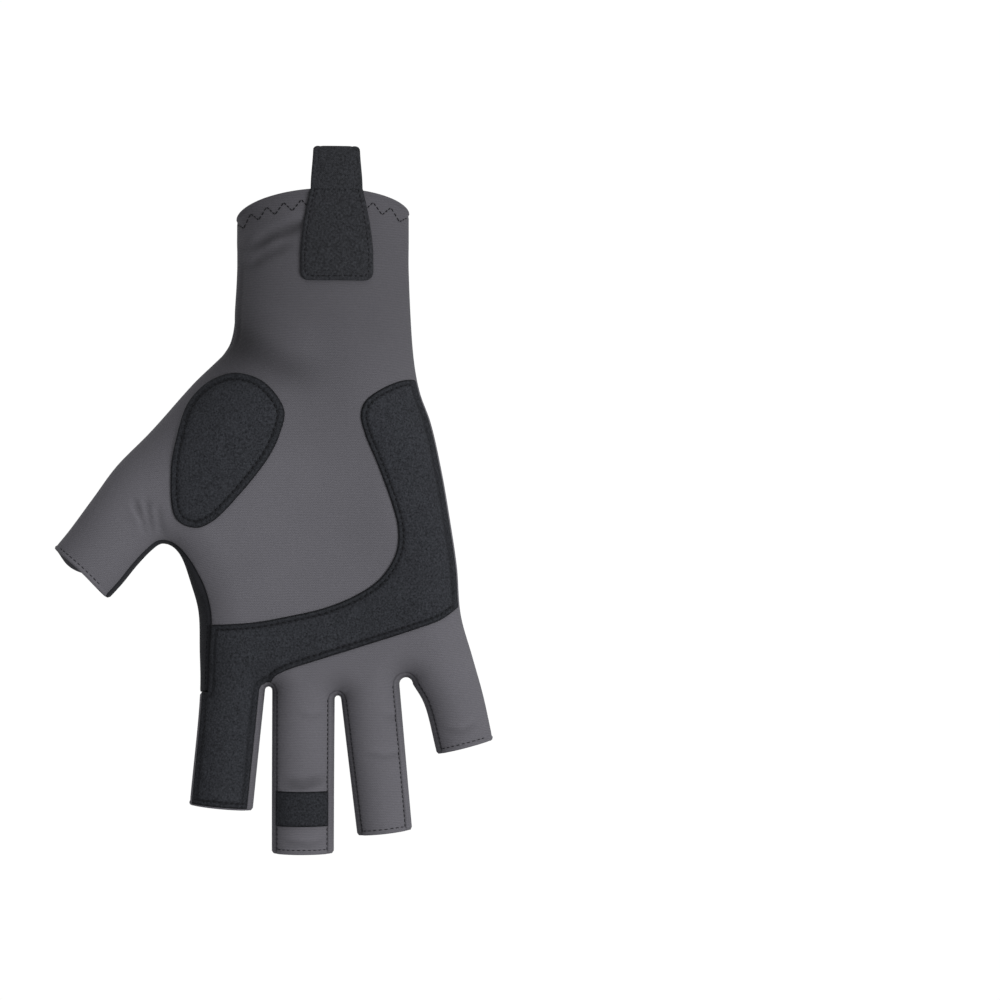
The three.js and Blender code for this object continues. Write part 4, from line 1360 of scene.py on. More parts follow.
@dataclass
class Panels:
    """The knit over the palm and over the back, with thumb and fingers."""

    shop: Workshop
    edge_step: float = 0.75
    spacing: float = 1.25
    slit_inset: float = 1.8
    hem_radius: float = 0.6
    seam_width: float = 1.15
    seam_depth: float = 0.5
    hem_width: float = 1.7
    palm_cut: Cut = Cut(155.0, 246.0, 23000.0)
    back_cut: Cut = Cut(158.0, 243.0, 22300.0)
    rim_points: int = 90
    hem_points: int = 44
    hem_swell: float = 0.22
    hem_groove: float = 0.16
    hem_groove_width: float = 0.35
    least_wall: float = 0.05
    reach: float = 3.0
    # Painted shade on the palm: darker towards the cuff, on the wrist's thumb side and in the bend of the
    # wrist
    cuff_shade: float = 0.3
    left_shade: float = 0.04
    bend_shade: float = 0.36
    bend_place: tuple[float, float] = (-33.0, -50.0)
    bend_size: tuple[float, float] = (13.0, 15.0)

    def _steps(self, length: float) -> int:
        """How many points an edge of this length gets."""
        return max(4, math.ceil(abs(length) / self.edge_step))

    def _seam(self, line: SideLine, start: float, end: float, inset: Any = 0.0) -> np.ndarray:
        """Points along a seam, from one length of a side line to another.

        Args:
            line: The side line.
            start: Length where the seam starts.
            end: Length where it ends.
            inset: Distance in from the line, or a function of the length.

        Returns:
            The points.
        """
        lengths = np.linspace(start, end, self._steps(end - start))
        distances = inset(lengths) if callable(inset) else np.full(len(lengths), inset)
        return line.inset(lengths, seam_inset(distances))

    def _hem(self, start: np.ndarray, end: np.ndarray, bow: np.ndarray | None = None) -> np.ndarray:
        """Points along a hem, closer together at its ends, without the two corners.

        Args:
            start: The first corner.
            end: The last corner.
            bow: How far the middle is moved.

        Returns:
            The points.
        """
        even = np.linspace(0.0, 1.0, self.hem_points)
        share = (0.5 - 0.5 * np.cos(math.pi * even))[1:-1]
        path = start + (end - start) * share[:, None]
        if bow is not None:
            path = path + bow * np.sin(math.pi * share)[:, None]
        return path

    def outline(self, face: Face) -> tuple[np.ndarray, np.ndarray]:
        """The panel's outline in the palm view.

        Args:
            face: Palm or back.

        Returns:
            The outline's points, and which of them lie on a seam rather than a hem.
        """
        form, seams = self.shop.form, self.shop.seams
        parts: list[tuple[np.ndarray, bool]] = [(form.rim(face, self.rim_points)[1:-1], False)]
        parts.append((self._seam(form.outer_side, form.outer_rim_length, 0.0), True))
        for k in range(len(form.slit_lines) - 1, -1, -1):
            slit = form.slit_lines[k]
            side = self._seam(slit, slit.total, 0.0, self.slit_inset)
            parts += [(self._hem(parts[-1][0][-1], side[0]), False), (side, True)]
        web = self._seam(form.web, form.web.total, 0.0, lambda lengths: seams.inset(lengths, face))
        parts += [(self._hem(parts[-1][0][-1], web[0]), False), (web, True)]
        thumb = self._seam(form.thumb_side, form.thumb_side.total, form.thumb_rim_length)
        bow = form.thumb_along * (form.thumb_hem_bow if face is Face.BACK else -form.thumb_hem_bow / 2)
        parts += [(self._hem(web[-1], thumb[0], bow), False), (thumb, True)]
        points = np.concatenate([path for path, _ in parts])
        marks = np.concatenate([np.full(len(path), mark) for path, mark in parts])
        return points, marks

    def build(self, face: Face) -> bpy.types.Object:
        """Builds the panel of one face.

        Args:
            face: Palm or back.

        Returns:
            The dressed panel.
        """
        shop = self.shop
        outline, on_seam = self.outline(face)
        rings = [0.04 * k**2 for k in range(1, 8)]
        patch = fill_outline(outline, rings, self.spacing)
        cloth = Cloth.over(shop.form, patch.nodes, face, patch.cells)
        edge = shop.form.surface(outline, face)[0]
        seam, hem = self._edge_reach(cloth.points, edge, on_seam)
        folds = shop.relief[face].height(patch.nodes)
        roll = self.seam_depth * (quarter(seam, self.seam_width) / self.seam_width)
        rounded = quarter(hem, self.hem_radius)
        swell = self.hem_swell * ease(self.hem_width, self.hem_width * 0.6, hem)
        swell -= self.hem_groove * bump(hem - self.hem_width, self.hem_groove_width)
        outer = folds - roll - rounded + swell
        inner = -WALL + folds - roll + rounded - 0.1 * ease(self.hem_width, 0.8, hem)
        # Painted shade: darker along the rolled seams and in folds and grooves, slightly lighter on fold
        # ridges
        cloth.shade = (1 - 0.3 * ease(0.9, 0.1, seam)) * (1 + 0.3 * np.clip(folds, -1.0, 0.2))
        # Painted shade towards the cuff and in the bend of the wrist, on the palm only
        if face is Face.PALM:
            cloth.shade *= self._painted_wrist_shading(patch.nodes)
        name = "palm_knit" if face is Face.PALM else "back_knit"
        piece = cloth.wall(name, outer, np.minimum(inner, outer - self.least_wall))
        node = "palm_panel" if face is Face.PALM else "back_panel"
        shop.dress(piece, shop.wardrobe.shell, Slot.SHELL, node)
        return piece

    def _painted_wrist_shading(self, nodes: np.ndarray) -> np.ndarray:
        """Painted shade: how much darker the knit is painted towards the cuff, on the thumb side of the
        wrist and in the bend of the wrist.

        Args:
            nodes: Points (x, z).

        Returns:
            A factor for the colour at each.
        """
        x, z = nodes.T
        cuff = 1 - self.cuff_shade * ease(-105.0, -35.0, z)
        left = 1 - self.left_shade * ease(8.0, -30.0, x) * ease(-78.0, -40.0, z)
        offset = (nodes - self.bend_place) / self.bend_size
        return cuff * left * (1 - self.bend_shade * np.exp(-(offset**2).sum(1)))

    def _edge_reach(
        self, points: np.ndarray, edge: np.ndarray, on_seam: np.ndarray
    ) -> tuple[np.ndarray, np.ndarray]:
        """Distances of nodes from the panel's seams and from its hems.

        Args:
            points: The nodes in space.
            edge: The panel's outline in space.
            on_seam: Which of its points lie on a seam.

        Returns:
            The distances from seams and from hems.
        """
        following = np.roll(on_seam, -1)
        loop = np.concatenate([edge, edge[:1]])
        reach = {mark: np.full(len(points), self.reach) for mark in (True, False)}
        start = 0
        kinds = on_seam & following
        for i in range(1, len(edge) + 1):
            if i == len(edge) or kinds[i] != kinds[start]:
                found = edge_distances(points, loop[start : i + 1], self.reach)
                reach[bool(kinds[start])] = np.minimum(reach[bool(kinds[start])], found)
                start = i
        return reach[True], reach[False]


@dataclass
class SideStrips:
    """The strips between the fingers and the gusset under the thumb."""

    shop: Workshop
    names: tuple[str, ...] = ("index_middle", "middle_ring", "ring_little")
    inset: float = 1.8
    step: float = 0.8
    seam_width: float = 0.9
    seam_depth: float = 0.45
    strip_width: float = 12.5
    strip_fill: float = 0.95
    gusset_reach: float = 0.9985
    gusset_end_round: float = 0.15
    gusset_cut: Cut = Cut(26.0, 118.0, 2030.0)

    def _strip(
        self, line: SideLine, lengths: np.ndarray, palm: np.ndarray, back: np.ndarray
    ) -> Cloth:
        """Lays a strip round a side line, from a seam on the palm face to one on the back.

        Args:
            line: The side line.
            lengths: Lengths along it.
            palm: Inset of the palm seam.
            back: Inset of the back seam.

        Returns:
            The strip's cloth, as a grid.
        """
        fine = max(6, math.ceil(float(back.max())))
        palm_shares = np.linspace(1.0, 0.0, 8) ** 2
        back_shares = np.linspace(0.0, 1.0, fine + 2)[1:] ** 2
        halves = []
        for face, insets, shares in ((Face.PALM, palm, palm_shares), (Face.BACK, back, back_shares)):
            nodes = np.concatenate([line.inset(lengths, insets * share) for share in shares])
            points, normals, fall = self.shop.form.surface(nodes, face)
            along = np.tile(lengths, len(shares))
            halves.append((points, normals, np.column_stack([face.value * fall, along]), len(shares)))
        columns = halves[0][3] + halves[1][3]
        merge = lambda k: np.concatenate([halves[0][k], halves[1][k]]).reshape(columns, len(lengths), -1)
        points, normals, weave = (merge(k).reshape(columns * len(lengths), -1) for k in range(3))
        cells = outward_cells(points, normals, grid_cells(columns, len(lengths)))
        return Cloth(points, normals, cells, weave, np.ones(len(points)))

    def _walls(self, name: str, cloth: Cloth, rows: int, far_round: float = WALL / 2) -> bpy.types.Object:
        """Rolls the strip's seams in, rounds its ends, paints shade along its seams and makes it a closed
        wall.

        Args:
            name: The piece's name.
            cloth: The strip's cloth, laid out as a grid.
            rows: How many nodes lie along the strip.
            far_round: Rounding radius of the strip's last end.

        Returns:
            The new piece.
        """
        table = cloth.points.reshape(-1, rows, 3)
        seam = np.minimum(*(edge_distances(cloth.points, table[k], 3.0) for k in (0, -1)))
        near, far = (edge_distances(cloth.points, table[:, k], 3.0) for k in (0, -1))
        hem = quarter(near, WALL / 2) + quarter(far, far_round)
        roll = self.seam_depth * quarter(seam, self.seam_width) / self.seam_width
        outer = -roll - hem
        inner = -WALL - roll + hem
        # Painted shade: darker along the rolled seams
        cloth.shade = 1 - 0.35 * ease(0.7, 0.1, seam)
        return cloth.wall(name, outer, np.minimum(inner, outer - 0.05))

    def fourchettes(self) -> list[bpy.types.Object]:
        """Builds the three strips between the fingers.

        Returns:
            The strips.
        """
        shop, made = self.shop, []
        for name, line in zip(self.names, shop.form.slit_lines):
            lengths = np.linspace(0.0, line.total, math.ceil(line.total / self.step))
            insets = np.full(len(lengths), self.inset)
            cloth = self._strip(line, lengths, insets, insets)
            piece = self._walls(f"strip_{name}", cloth, len(lengths))
            shop.dress(piece, shop.wardrobe.shell, Slot.SHELL, f"fourchette_{name}")
            area = self.strip_width * line.total * self.strip_fill
            shop.declare(piece, Cut(self.strip_width, line.total, area))
            made.append(piece)
        return made

    def gusset(self) -> bpy.types.Object:
        """Builds the black gusset under the thumb and down the side of the palm.

        Returns:
            The gusset.
        """
        shop, seams = self.shop, self.shop.seams
        end = seams.end * self.gusset_reach
        lengths = np.linspace(0.0, end, math.ceil(end / self.step))
        insets = [seams.inset(lengths, face) for face in (Face.PALM, Face.BACK)]
        cloth = self._strip(shop.form.web, lengths, *insets)
        piece = self._walls("thumb_web", cloth, len(lengths), self.gusset_end_round)
        shop.dress(piece, shop.wardrobe.web, Slot.WEB, "thumb_gusset")
        shop.declare(piece, self.gusset_cut)
        return piece


@dataclass
class SuedePatches:
    """The suede patches on the palm, with their stitches."""

    shop: Workshop
    thickness: float = 0.95
    edge_radius: float = 0.7
    stitch_inset: float = 1.9
    lower_stitch_inset: float = 1.9
    thenar_stitch_inset: float = 2.4
    pitch: float = 2.2
    thread_radius: float = 0.28
    filled: float = 0.66
    stitch_sink: float = 0.1
    inner_edge: tuple[tuple[float, float], ...] = (
        (0.338, 0.354), (0.28, 0.358), (0.202, 0.379), (0.155, 0.402),
        (0.141, 0.427), (0.155, 0.465), (0.202, 0.532), (0.249, 0.609),
        (0.268, 0.653), (0.268, 0.694), (0.249, 0.726), (0.202, 0.763),
        (0.124, 0.794), (0.016, 0.82), (-0.109, 0.837), (-0.224, 0.849),
        (-0.364, 0.855), (-0.473, 0.856),
    )
    lower_edge: tuple[tuple[float, float], ...] = (
        (-0.211, 1.024), (-0.202, 0.994), (-0.181, 0.977), (-0.162, 0.96),
        (-0.124, 0.948), (-0.03, 0.93), (0.124, 0.902), (0.318, 0.866),
        (0.42, 0.844), (0.467, 0.824), (0.53, 0.792),
    )
    thenar_edge: tuple[tuple[float, float], ...] = (
        (-0.293, 0.343), (-0.197, 0.361), (-0.125, 0.418), (-0.141, 0.468),
        (-0.178, 0.513), (-0.269, 0.582), (-0.377, 0.645), (-0.435, 0.657),
        (-0.501, 0.637), (-0.518, 0.541), (-0.501, 0.478), (-0.466, 0.408),
        (-0.418, 0.373), (-0.369, 0.354),
    )
    side_inset: float = 0.9
    piping_inset: float = 1.5
    seam_clearance: float = 0.35
    slit_inset: float = 2.05
    hem_inset: float = 0.6
    band_height: float = 12.4
    band_over_hem: float = 10.0
    band_side_inset: float = 2.1
    unstitched_inset: float = 20.0
    rings: tuple[float, ...] = (0.07, 0.17, 0.32, 0.5, 0.75, 1.05, 1.4, 1.8, 2.25, 2.7, 3.2)
    spacing: float = 1.25
    clearance: float = 0.06
    edge_height: float = 0.25
    groove_width: float = 0.5
    groove_depth: float = 0.3
    swell: float = 0.12
    # Painted shade at the patch's edge, in its stitch groove and on the strip outside the stitches
    edge_shade: float = 0.55
    groove_shade: float = 0.34
    turned_shade: float = 0.16
    palm_cut: Cut = Cut(98.0, 153.0, 4730.0)
    thenar_cut: Cut = Cut(42.0, 57.0, 1660.0)
    band_cut: Cut = Cut(21.5, 13.0, 278.0)

    def _place(self, table: Sequence[tuple[float, float]]) -> np.ndarray:
        """Turns shares of the knuckle row and of the hand's length into points."""
        form = self.shop.form
        return np.array([[across * form.knuckle_span, -down * form.hand_length] for across, down in table])

    def palm_edges(self) -> dict[str, np.ndarray]:
        """The edges of the palm patch, each a path of the palm view.

        Returns:
            The edges by name.
        """
        form, seams = self.shop.form, self.shop.seams
        inner = smooth_curve(self._place(self.inner_edge), 0.6)
        distance, _, length = form.web.nearest(inner)
        clear = distance > seams.inset(length, Face.PALM) + self.seam_clearance
        outer_distance, _, _ = form.outer_side.nearest(inner)
        inner = inner[clear & (outer_distance > self.side_inset)]
        lower = smooth_curve(self._place(self.lower_edge), 0.6)
        slit = form.slit_lines[0]
        slit_distance, _, slit_length = slit.nearest(lower)
        lower_outer, _, lower_length = form.outer_side.nearest(lower)
        kept = (slit_distance > self.slit_inset) & (lower_outer > self.side_inset)
        start = float(form.web.nearest(inner[-1:])[2][0])
        web_lengths = np.linspace(start, form.web.total - self.hem_inset, 150)
        web_insets = seams.inset(web_lengths, Face.PALM) + self.seam_clearance
        web_insets = np.maximum(web_insets, self.piping_inset)
        slit_start = float(slit_length[kept][0])
        side_from = float(lower_length[kept][-1])
        side_to = float(form.outer_side.nearest(inner[:1])[2][0])
        return {
            "inner": inner,
            "web": form.web.inset(web_lengths, web_insets)[1:],
            "slit": slit.inset(np.linspace(self.hem_inset, slit_start, 60), self.slit_inset)[:-1],
            "lower": lower[kept],
            "side": form.outer_side.inset(np.linspace(side_from, side_to, 130), self.side_inset)[1:-1],
        }

    def _hem(self, edges: dict[str, np.ndarray]) -> np.ndarray:
        """The patch's edge along the index finger's hem."""
        start, end = edges["web"][-1], edges["slit"][0]
        return start + (end - start) * np.linspace(0.0, 1.0, 32)[1:-1, None]

    def _layer(
        self, name: str, outline: np.ndarray, stitch_inset: float, node: str
    ) -> bpy.types.Object:
        """Makes a patch with rounded edges and a groove along its stitches, with painted shade at its edge,
        in the groove and outside the stitches.

        Args:
            name: The piece's name.
            outline: The patch's outline.
            stitch_inset: Where the stitches lie, in from the edge.
            node: The CAD node it stands for.

        Returns:
            The dressed patch.
        """
        patch = fill_outline(outline, self.rings, self.spacing)
        cloth = Cloth.over(self.shop.form, patch.nodes, Face.PALM, patch.cells)
        closed = np.concatenate([outline, outline[:1]])
        flat = [np.insert(path, 1, 0, axis=1) for path in (patch.nodes, closed)]
        edge = edge_distances(*flat, 6.0)
        relief = self.shop.relief[Face.PALM].height(patch.nodes)
        rounding = quarter(edge, self.edge_radius) / self.edge_radius
        groove = bump(edge - stitch_inset, self.groove_width)
        rise = self.thickness - (self.thickness - self.edge_height) * rounding
        rise -= self.groove_depth * groove
        rise += self.swell * ease(stitch_inset, stitch_inset + 3, edge)
        # Painted shade: darker at the rounded edge, in the stitch groove and on the turned strip outside
        # the stitches
        cloth.shade = 1 - self.edge_shade * ease(0.9, 0.15, edge) - self.groove_shade * groove
        turned = ease(stitch_inset + 0.3, stitch_inset - 0.3, edge)
        cloth.shade *= 1 - self.turned_shade * turned
        piece = cloth.wall(name, relief + rise, relief + self.clearance)
        self.shop.dress(piece, self.shop.wardrobe.suede, Slot.PATCH, node)
        return piece

    def _sew(self, name: str, rows: Sequence[StitchRow]) -> bpy.types.Object:
        """Sews rows of stitches with the patches' thread."""
        wardrobe, machine = self.shop.wardrobe, self.shop.machine
        return machine.sew(name, rows, wardrobe.thread, self.thread_radius, self.filled)

    @staticmethod
    def _offset(path: np.ndarray, distance: float) -> np.ndarray:
        """A path moved to its left, or to its right where the distance is negative.

        Args:
            path: The path.
            distance: How far.

        Returns:
            The moved path.
        """
        runs = np.gradient(path, axis=0)
        runs /= np.linalg.norm(runs, axis=1)[:, None]
        return path + np.stack([-runs[:, 1], runs[:, 0]], axis=1) * distance

    def palm(self) -> list[bpy.types.Object]:
        """Builds the patch from the heel of the hand to the index finger, and its stitches.

        Returns:
            The patch and the stitches.
        """
        shop, edges = self.shop, self.palm_edges()
        edges["hem"] = self._hem(edges)
        order = [edges[key] for key in ("inner", "web", "hem", "slit", "lower", "side")]
        piece = self._layer("palm_suede", np.concatenate(order), self.stitch_inset, "palm_patch")
        height = self.thickness - self.stitch_sink
        paths = [
            self._offset(edges["inner"], self.stitch_inset)[2:-2],
            self._offset(edges["lower"], self.lower_stitch_inset)[3:-2],
            edges["hem"] + np.array([0.0, self.lower_stitch_inset]),
        ]
        rows = [shop.stitch_row(path, Face.PALM, height, self.pitch) for path in paths]
        thread = self._sew("palm_suede_stitches", rows)
        shop.dress(thread, shop.wardrobe.thread, Slot.THREAD)
        shop.declare(piece, self.palm_cut, thread)
        return [piece, thread]

    def thenar(self) -> list[bpy.types.Object]:
        """Builds the oval patch at the root of the thumb, and its stitches.

        Returns:
            The patch and the stitches.
        """
        shop = self.shop
        outline = smooth_curve(self._place(self.thenar_edge), 0.6, closed=True)
        piece = self._layer("thenar_suede", outline, self.thenar_stitch_inset, "thenar_patch")
        loop = np.concatenate([outline, outline[:2]])
        path = self._offset(loop, -self.thenar_stitch_inset)
        row = shop.stitch_row(path[:-1], Face.PALM, self.thickness - self.stitch_sink, self.pitch)
        thread = self._sew("thenar_suede_stitches", [row])
        shop.dress(thread, shop.wardrobe.thread, Slot.THREAD)
        shop.declare(piece, self.thenar_cut, thread)
        return [piece, thread]

    def band(self) -> bpy.types.Object:
        """Builds the band on the middle finger.

        Returns:
            The band.
        """
        finger = self.shop.form.corners[1]
        low = finger.tip_left[1] + self.band_over_hem
        left = finger.tip_left[0] + self.band_side_inset
        right = finger.tip_right[0] - self.band_side_inset
        high = low + self.band_height
        corners = np.array([[left, low], [right, low], [right, high], [left, high]])
        closed = np.concatenate([corners, corners[:1]])
        outline = np.concatenate([resample(closed[k : k + 2], 28)[:-1] for k in range(4)])
        piece = self._layer("finger_suede", outline, self.unstitched_inset, "finger_band")
        self.shop.declare(piece, self.band_cut)
        return piece


@dataclass
class PullTab:
    """The strap that is folded over the rim, to pull the glove on and off."""

    shop: Workshop
    top_width: float = 16.2
    rim_width: float = 18.0
    bottom_width: float = 25.3
    length: float = 47.6
    loop_height: float = 15.0
    inner_length: float = 14.0
    thickness: float = 1.2
    corner: float = 3.2
    shift: float = 5.8
    spread_share: float = 0.74
    spread_bend: float = 1.6
    fold_pinch: float = 1.6
    thread_radius: float = 0.25
    filled: float = 0.66
    clearance: float = 0.1
    stitch_inset: float = 1.7
    columns: int = 41
    cut: Cut = Cut(25.3, 84.0, 1600.0)

    def __post_init__(self) -> None:
        """Works out the strap's heights."""
        form = self.shop.form
        self.rim = form.palm_rim_rise - (form.rim_thumb_drop + form.rim_outer_drop) / 2
        self.top = self.loop_height + self.rim
        self.bottom = self.top - self.length

    def width(self, z: np.ndarray, inset: float = 0.0) -> np.ndarray:
        """Width of the strap at a height, or of a line that lies in from its edge.

        Args:
            z: Heights.
            inset: Distance in from the edge.

        Returns:
            The widths.
        """
        z = np.asarray(z, float)
        over = self.rim_width + (self.top_width - self.rim_width) * ease(self.rim, self.top, z)
        reach = self.spread_share * (self.rim - self.bottom)
        spread = 1 - (1 - np.clip((self.rim - z) / reach, 0.0, 1.0)) ** self.spread_bend
        radius = self.corner - inset
        into = np.clip(self.bottom + inset + radius - z, 0.0, radius)
        rounding = radius - np.sqrt(np.maximum(0.0, radius**2 - into**2))
        return over + (self.bottom_width - over) * spread - 2 * rounding - 2 * inset

    def _stations(self) -> list[tuple[float, float, float, float]]:
        """Height, distance out, turn and width down the strap, from its outer end over the fold.

        Returns:
            A row for each station.
        """
        outside = self.clearance + self.thickness / 2
        inside = -(WALL + self.clearance + self.thickness / 2)
        fold = (outside - inside) / 2
        crown = self.top - self.thickness / 2 - fold
        corner = self.bottom + self.corner * (1 - np.cos(np.linspace(0.0, math.pi / 2, 9)))
        front = np.concatenate([corner, np.linspace(self.bottom + self.corner, crown, 56)[1:]])
        rows = [(float(z), outside, 0.0, float(self.width(z))) for z in front]
        middle = (outside + inside) / 2
        for share in np.linspace(0.0, 1.0, 15)[1:]:
            turn = math.pi * share
            narrow = self.top_width - self.fold_pinch * math.sin(turn) ** 8
            rows.append((crown + fold * math.sin(turn), middle + fold * math.cos(turn), turn, narrow))
        for z in np.linspace(crown, self.rim - self.inner_length, 40)[1:]:
            rows.append((float(z), inside, math.pi, float(self.width(max(z, self.rim)))))
        return rows

    def build(self) -> list[bpy.types.Object]:
        """Builds the strap and its stitches.

        Returns:
            The strap and the stitches.
        """
        shop = self.shop
        stations = self._stations()
        shares = np.linspace(-0.5, 0.5, self.columns)
        nodes = np.array([[self.shift + s * width, z] for z, _, _, width in stations for s in shares])
        surface, normals, _ = shop.form.surface(nodes, Face.PALM)
        out = np.repeat([row[1] for row in stations], self.columns)
        turn = np.repeat([row[2] for row in stations], self.columns)
        points = surface + normals * out[:, None]
        up = np.array([0.0, 0.0, 1.0])
        turned = normals * np.cos(turn)[:, None] + up * np.sin(turn)[:, None]
        turned /= np.linalg.norm(turned, axis=1)[:, None]
        cells = outward_cells(points, turned, grid_cells(len(stations), self.columns))
        table = points.reshape(len(stations), self.columns, 3)
        run = np.repeat(path_lengths(table[:, self.columns // 2]), self.columns)
        weave = np.column_stack([nodes[:, 0], run])
        cloth = Cloth(points, turned, cells, weave, np.ones(len(points)))
        edges = [table[:, 0], table[:, -1], table[0], table[-1]]
        edge = np.minimum.reduce([edge_distances(points, path, 4.0) for path in edges])
        rounding = quarter(edge, self.thickness / 2) * 0.9
        lowered = 0.16 * bump(edge - self.stitch_inset, 0.4)
        half = self.thickness / 2
        piece = cloth.wall("pull_strap", half - rounding - lowered, -half + rounding)
        shop.dress(piece, shop.wardrobe.webbing, Slot.TAB, "pull_tab")
        thread = self._stitches()
        shop.declare(piece, self.cut, thread)
        return [piece, thread]

    def _row(self, path: np.ndarray, out: float, pitch: float = 1.9) -> StitchRow:
        """A row of holes on the strap, at a distance out from the hand's surface.

        Args:
            path: The row's path, as points (x, z).
            out: The distance out.
            pitch: Distance between two holes.

        Returns:
            The row.
        """
        dense = resample(path, max(3, math.ceil(path_lengths(path)[-1] / 0.4)))
        points, normals, _ = self.shop.form.surface(dense, Face.PALM)
        count = max(2, round(path_lengths(path)[-1] / pitch) + 1)
        return StitchRow(resample(points + normals * out, count), resample(normals, count))

    def _stitches(self) -> bpy.types.Object:
        """Sews the strap down along its sides, its end and the rim.

        Returns:
            The stitches.
        """
        shop = self.shop
        out = self.clearance + self.thickness - 0.1
        low = self.bottom + self.stitch_inset
        heights = low + (self.rim - self.bottom - self.stitch_inset) * np.linspace(0, 1, 80) ** 1.6
        half = self.width(heights, self.stitch_inset) / 2
        left = np.column_stack([self.shift - half, heights])
        right = np.column_stack([self.shift + half, heights])
        loop = np.concatenate([left[::-1], right])
        reach = self.rim_width / 2 - 1.4
        across = np.array([[self.shift + side * reach, self.rim - 0.5] for side in (-1, 1)])
        rows = [self._row(loop, out), self._row(across, out)]
        size = (self.thread_radius, self.filled)
        thread = shop.machine.sew("pull_strap_stitches", rows, shop.wardrobe.thread, *size, seed=3)
        shop.dress(thread, shop.wardrobe.thread, Slot.THREAD)
        return thread


@dataclass
class HemStitches:
    """The zigzag under the rim, the rows along the hems and the rows beside the finger seams."""

    shop: Workshop
    zigzag_drop: float = 5.4
    zigzag_period: float = 6.2
    zigzag_height: float = 3.6
    zigzag_radius: float = 0.22
    zigzag_filled: float = 0.84
    hem_radius: float = 0.15
    seam_radius: float = 0.16
    row_filled: float = 0.72
    hem_drop: float = 1.7
    hem_pitch: float = 2.0
    hem_corner: float = 2.4
    seam_inset: float = 2.25
    seam_pitch: float = 1.7
    gusset_pitch: float = 1.8
    gusset_spans: tuple[tuple[Face, float, float, float], ...] = (
        (Face.PALM, 0.6, 0.97, 1.3),
        (Face.BACK, 0.03, 0.4, 2.2),
    )
    lift: float = 0.08

    def _zigzag(self, face: Face) -> StitchRow:
        """Holes of a zigzag with three stitches to each leg.

        Args:
            face: Palm or back.

        Returns:
            The row.
        """
        centre = self.shop.form.rim(face, 200, self.zigzag_drop)[6:-6]
        total = path_lengths(centre)[-1]
        legs = round(total / self.zigzag_period * 2)
        path = resample(centre, legs * 3 + 1)
        steps = np.arange(len(path)) / 3
        swing = np.abs((steps % 2) - 1) - 0.5
        path[:, 1] += swing * self.zigzag_height
        points, normals = self.shop.lift(path, face, self.lift)
        return StitchRow(points, normals)

    def build(self) -> list[bpy.types.Object]:
        """Sews the cuff and the hems.

        Returns:
            The rows of stitches as pieces.
        """
        shop = self.shop
        dye = shop.wardrobe.thread
        cuff = [self._zigzag(face) for face in Face]
        hems = [row for face in Face for row in self._hems(face)]
        sides = [row for face in Face for row in self._finger_seams(face)] + self._gusset_rows()
        plans = (
            ("cuff_zigzag", cuff, self.zigzag_radius, self.zigzag_filled, 5),
            ("hem_stitches", hems, self.hem_radius, self.row_filled, 7),
            ("finger_seam_stitches", sides, self.seam_radius, self.row_filled, 9),
        )
        made = [
            shop.machine.sew(name, rows, dye, radius, filled, seed)
            for name, rows, radius, filled, seed in plans
        ]
        for thread in made:
            shop.dress(thread, shop.wardrobe.thread, Slot.THREAD)
        return made

    def _hems(self, face: Face) -> list[StitchRow]:
        """Rows along the hems of the fingers and of the thumb.

        Args:
            face: Palm or back.

        Returns:
            The rows.
        """
        form, rows = self.shop.form, []
        first = 1 if face is Face.PALM else 0
        for corners in form.corners[first:]:
            up = corners.base_left - corners.tip_left
            across = corners.tip_right - corners.tip_left
            up, in_by = up / np.linalg.norm(up), across / np.linalg.norm(across) * self.hem_corner
            path = np.array([corners.tip_left + in_by, corners.tip_right - in_by]) + up * self.hem_drop
            rows.append(self.shop.stitch_row(path, face, self.lift, self.hem_pitch))
        half = form.thumb_across * (form.thumb_width / 2)
        bow = form.thumb_hem_bow if face is Face.BACK else -form.thumb_hem_bow / 2
        shares = np.linspace(-0.86, 0.62 if face is Face.PALM else 0.0, 30)
        path = form.thumb_tip + half * shares[:, None]
        path = path + form.thumb_along * (bow * np.cos(shares * math.pi / 2) - self.hem_drop)[:, None]
        rows.append(self.shop.stitch_row(path, face, self.lift, self.hem_pitch))
        return rows

    def _gusset_rows(self) -> list[StitchRow]:
        """Rows on the gusset, beside its seam down the palm and its seam on the back of the thumb.

        Returns:
            The rows.
        """
        seams, web, rows = self.shop.seams, self.shop.form.web, []
        for face, first, last, inset in self.gusset_spans:
            lengths = np.linspace(first, last, 120) * seams.end
            path = web.inset(lengths, seams.inset(lengths, face) - inset)
            rows.append(self.shop.stitch_row(path, face, self.lift, self.gusset_pitch))
        return rows

    def _finger_seams(self, face: Face) -> list[StitchRow]:
        """Rows beside the seams of the strips between the fingers.

        Args:
            face: Palm or back.

        Returns:
            The rows.
        """
        rows = []
        for k, line in enumerate(self.shop.form.slit_lines):
            crotch_start, crotch_end = line.lengths[1], line.lengths[self.shop.form.slit_arc_points]
            spans = [(1.2, crotch_start), (crotch_end, line.total - 1.2)]
            if k == 0 and face is Face.PALM:
                spans = spans[1:]
            for start, end in spans:
                lengths = np.linspace(start, end, 160)
                path = line.inset(lengths, self.seam_inset)
                rows.append(self.shop.stitch_row(path, face, self.lift, self.seam_pitch))
        return rows


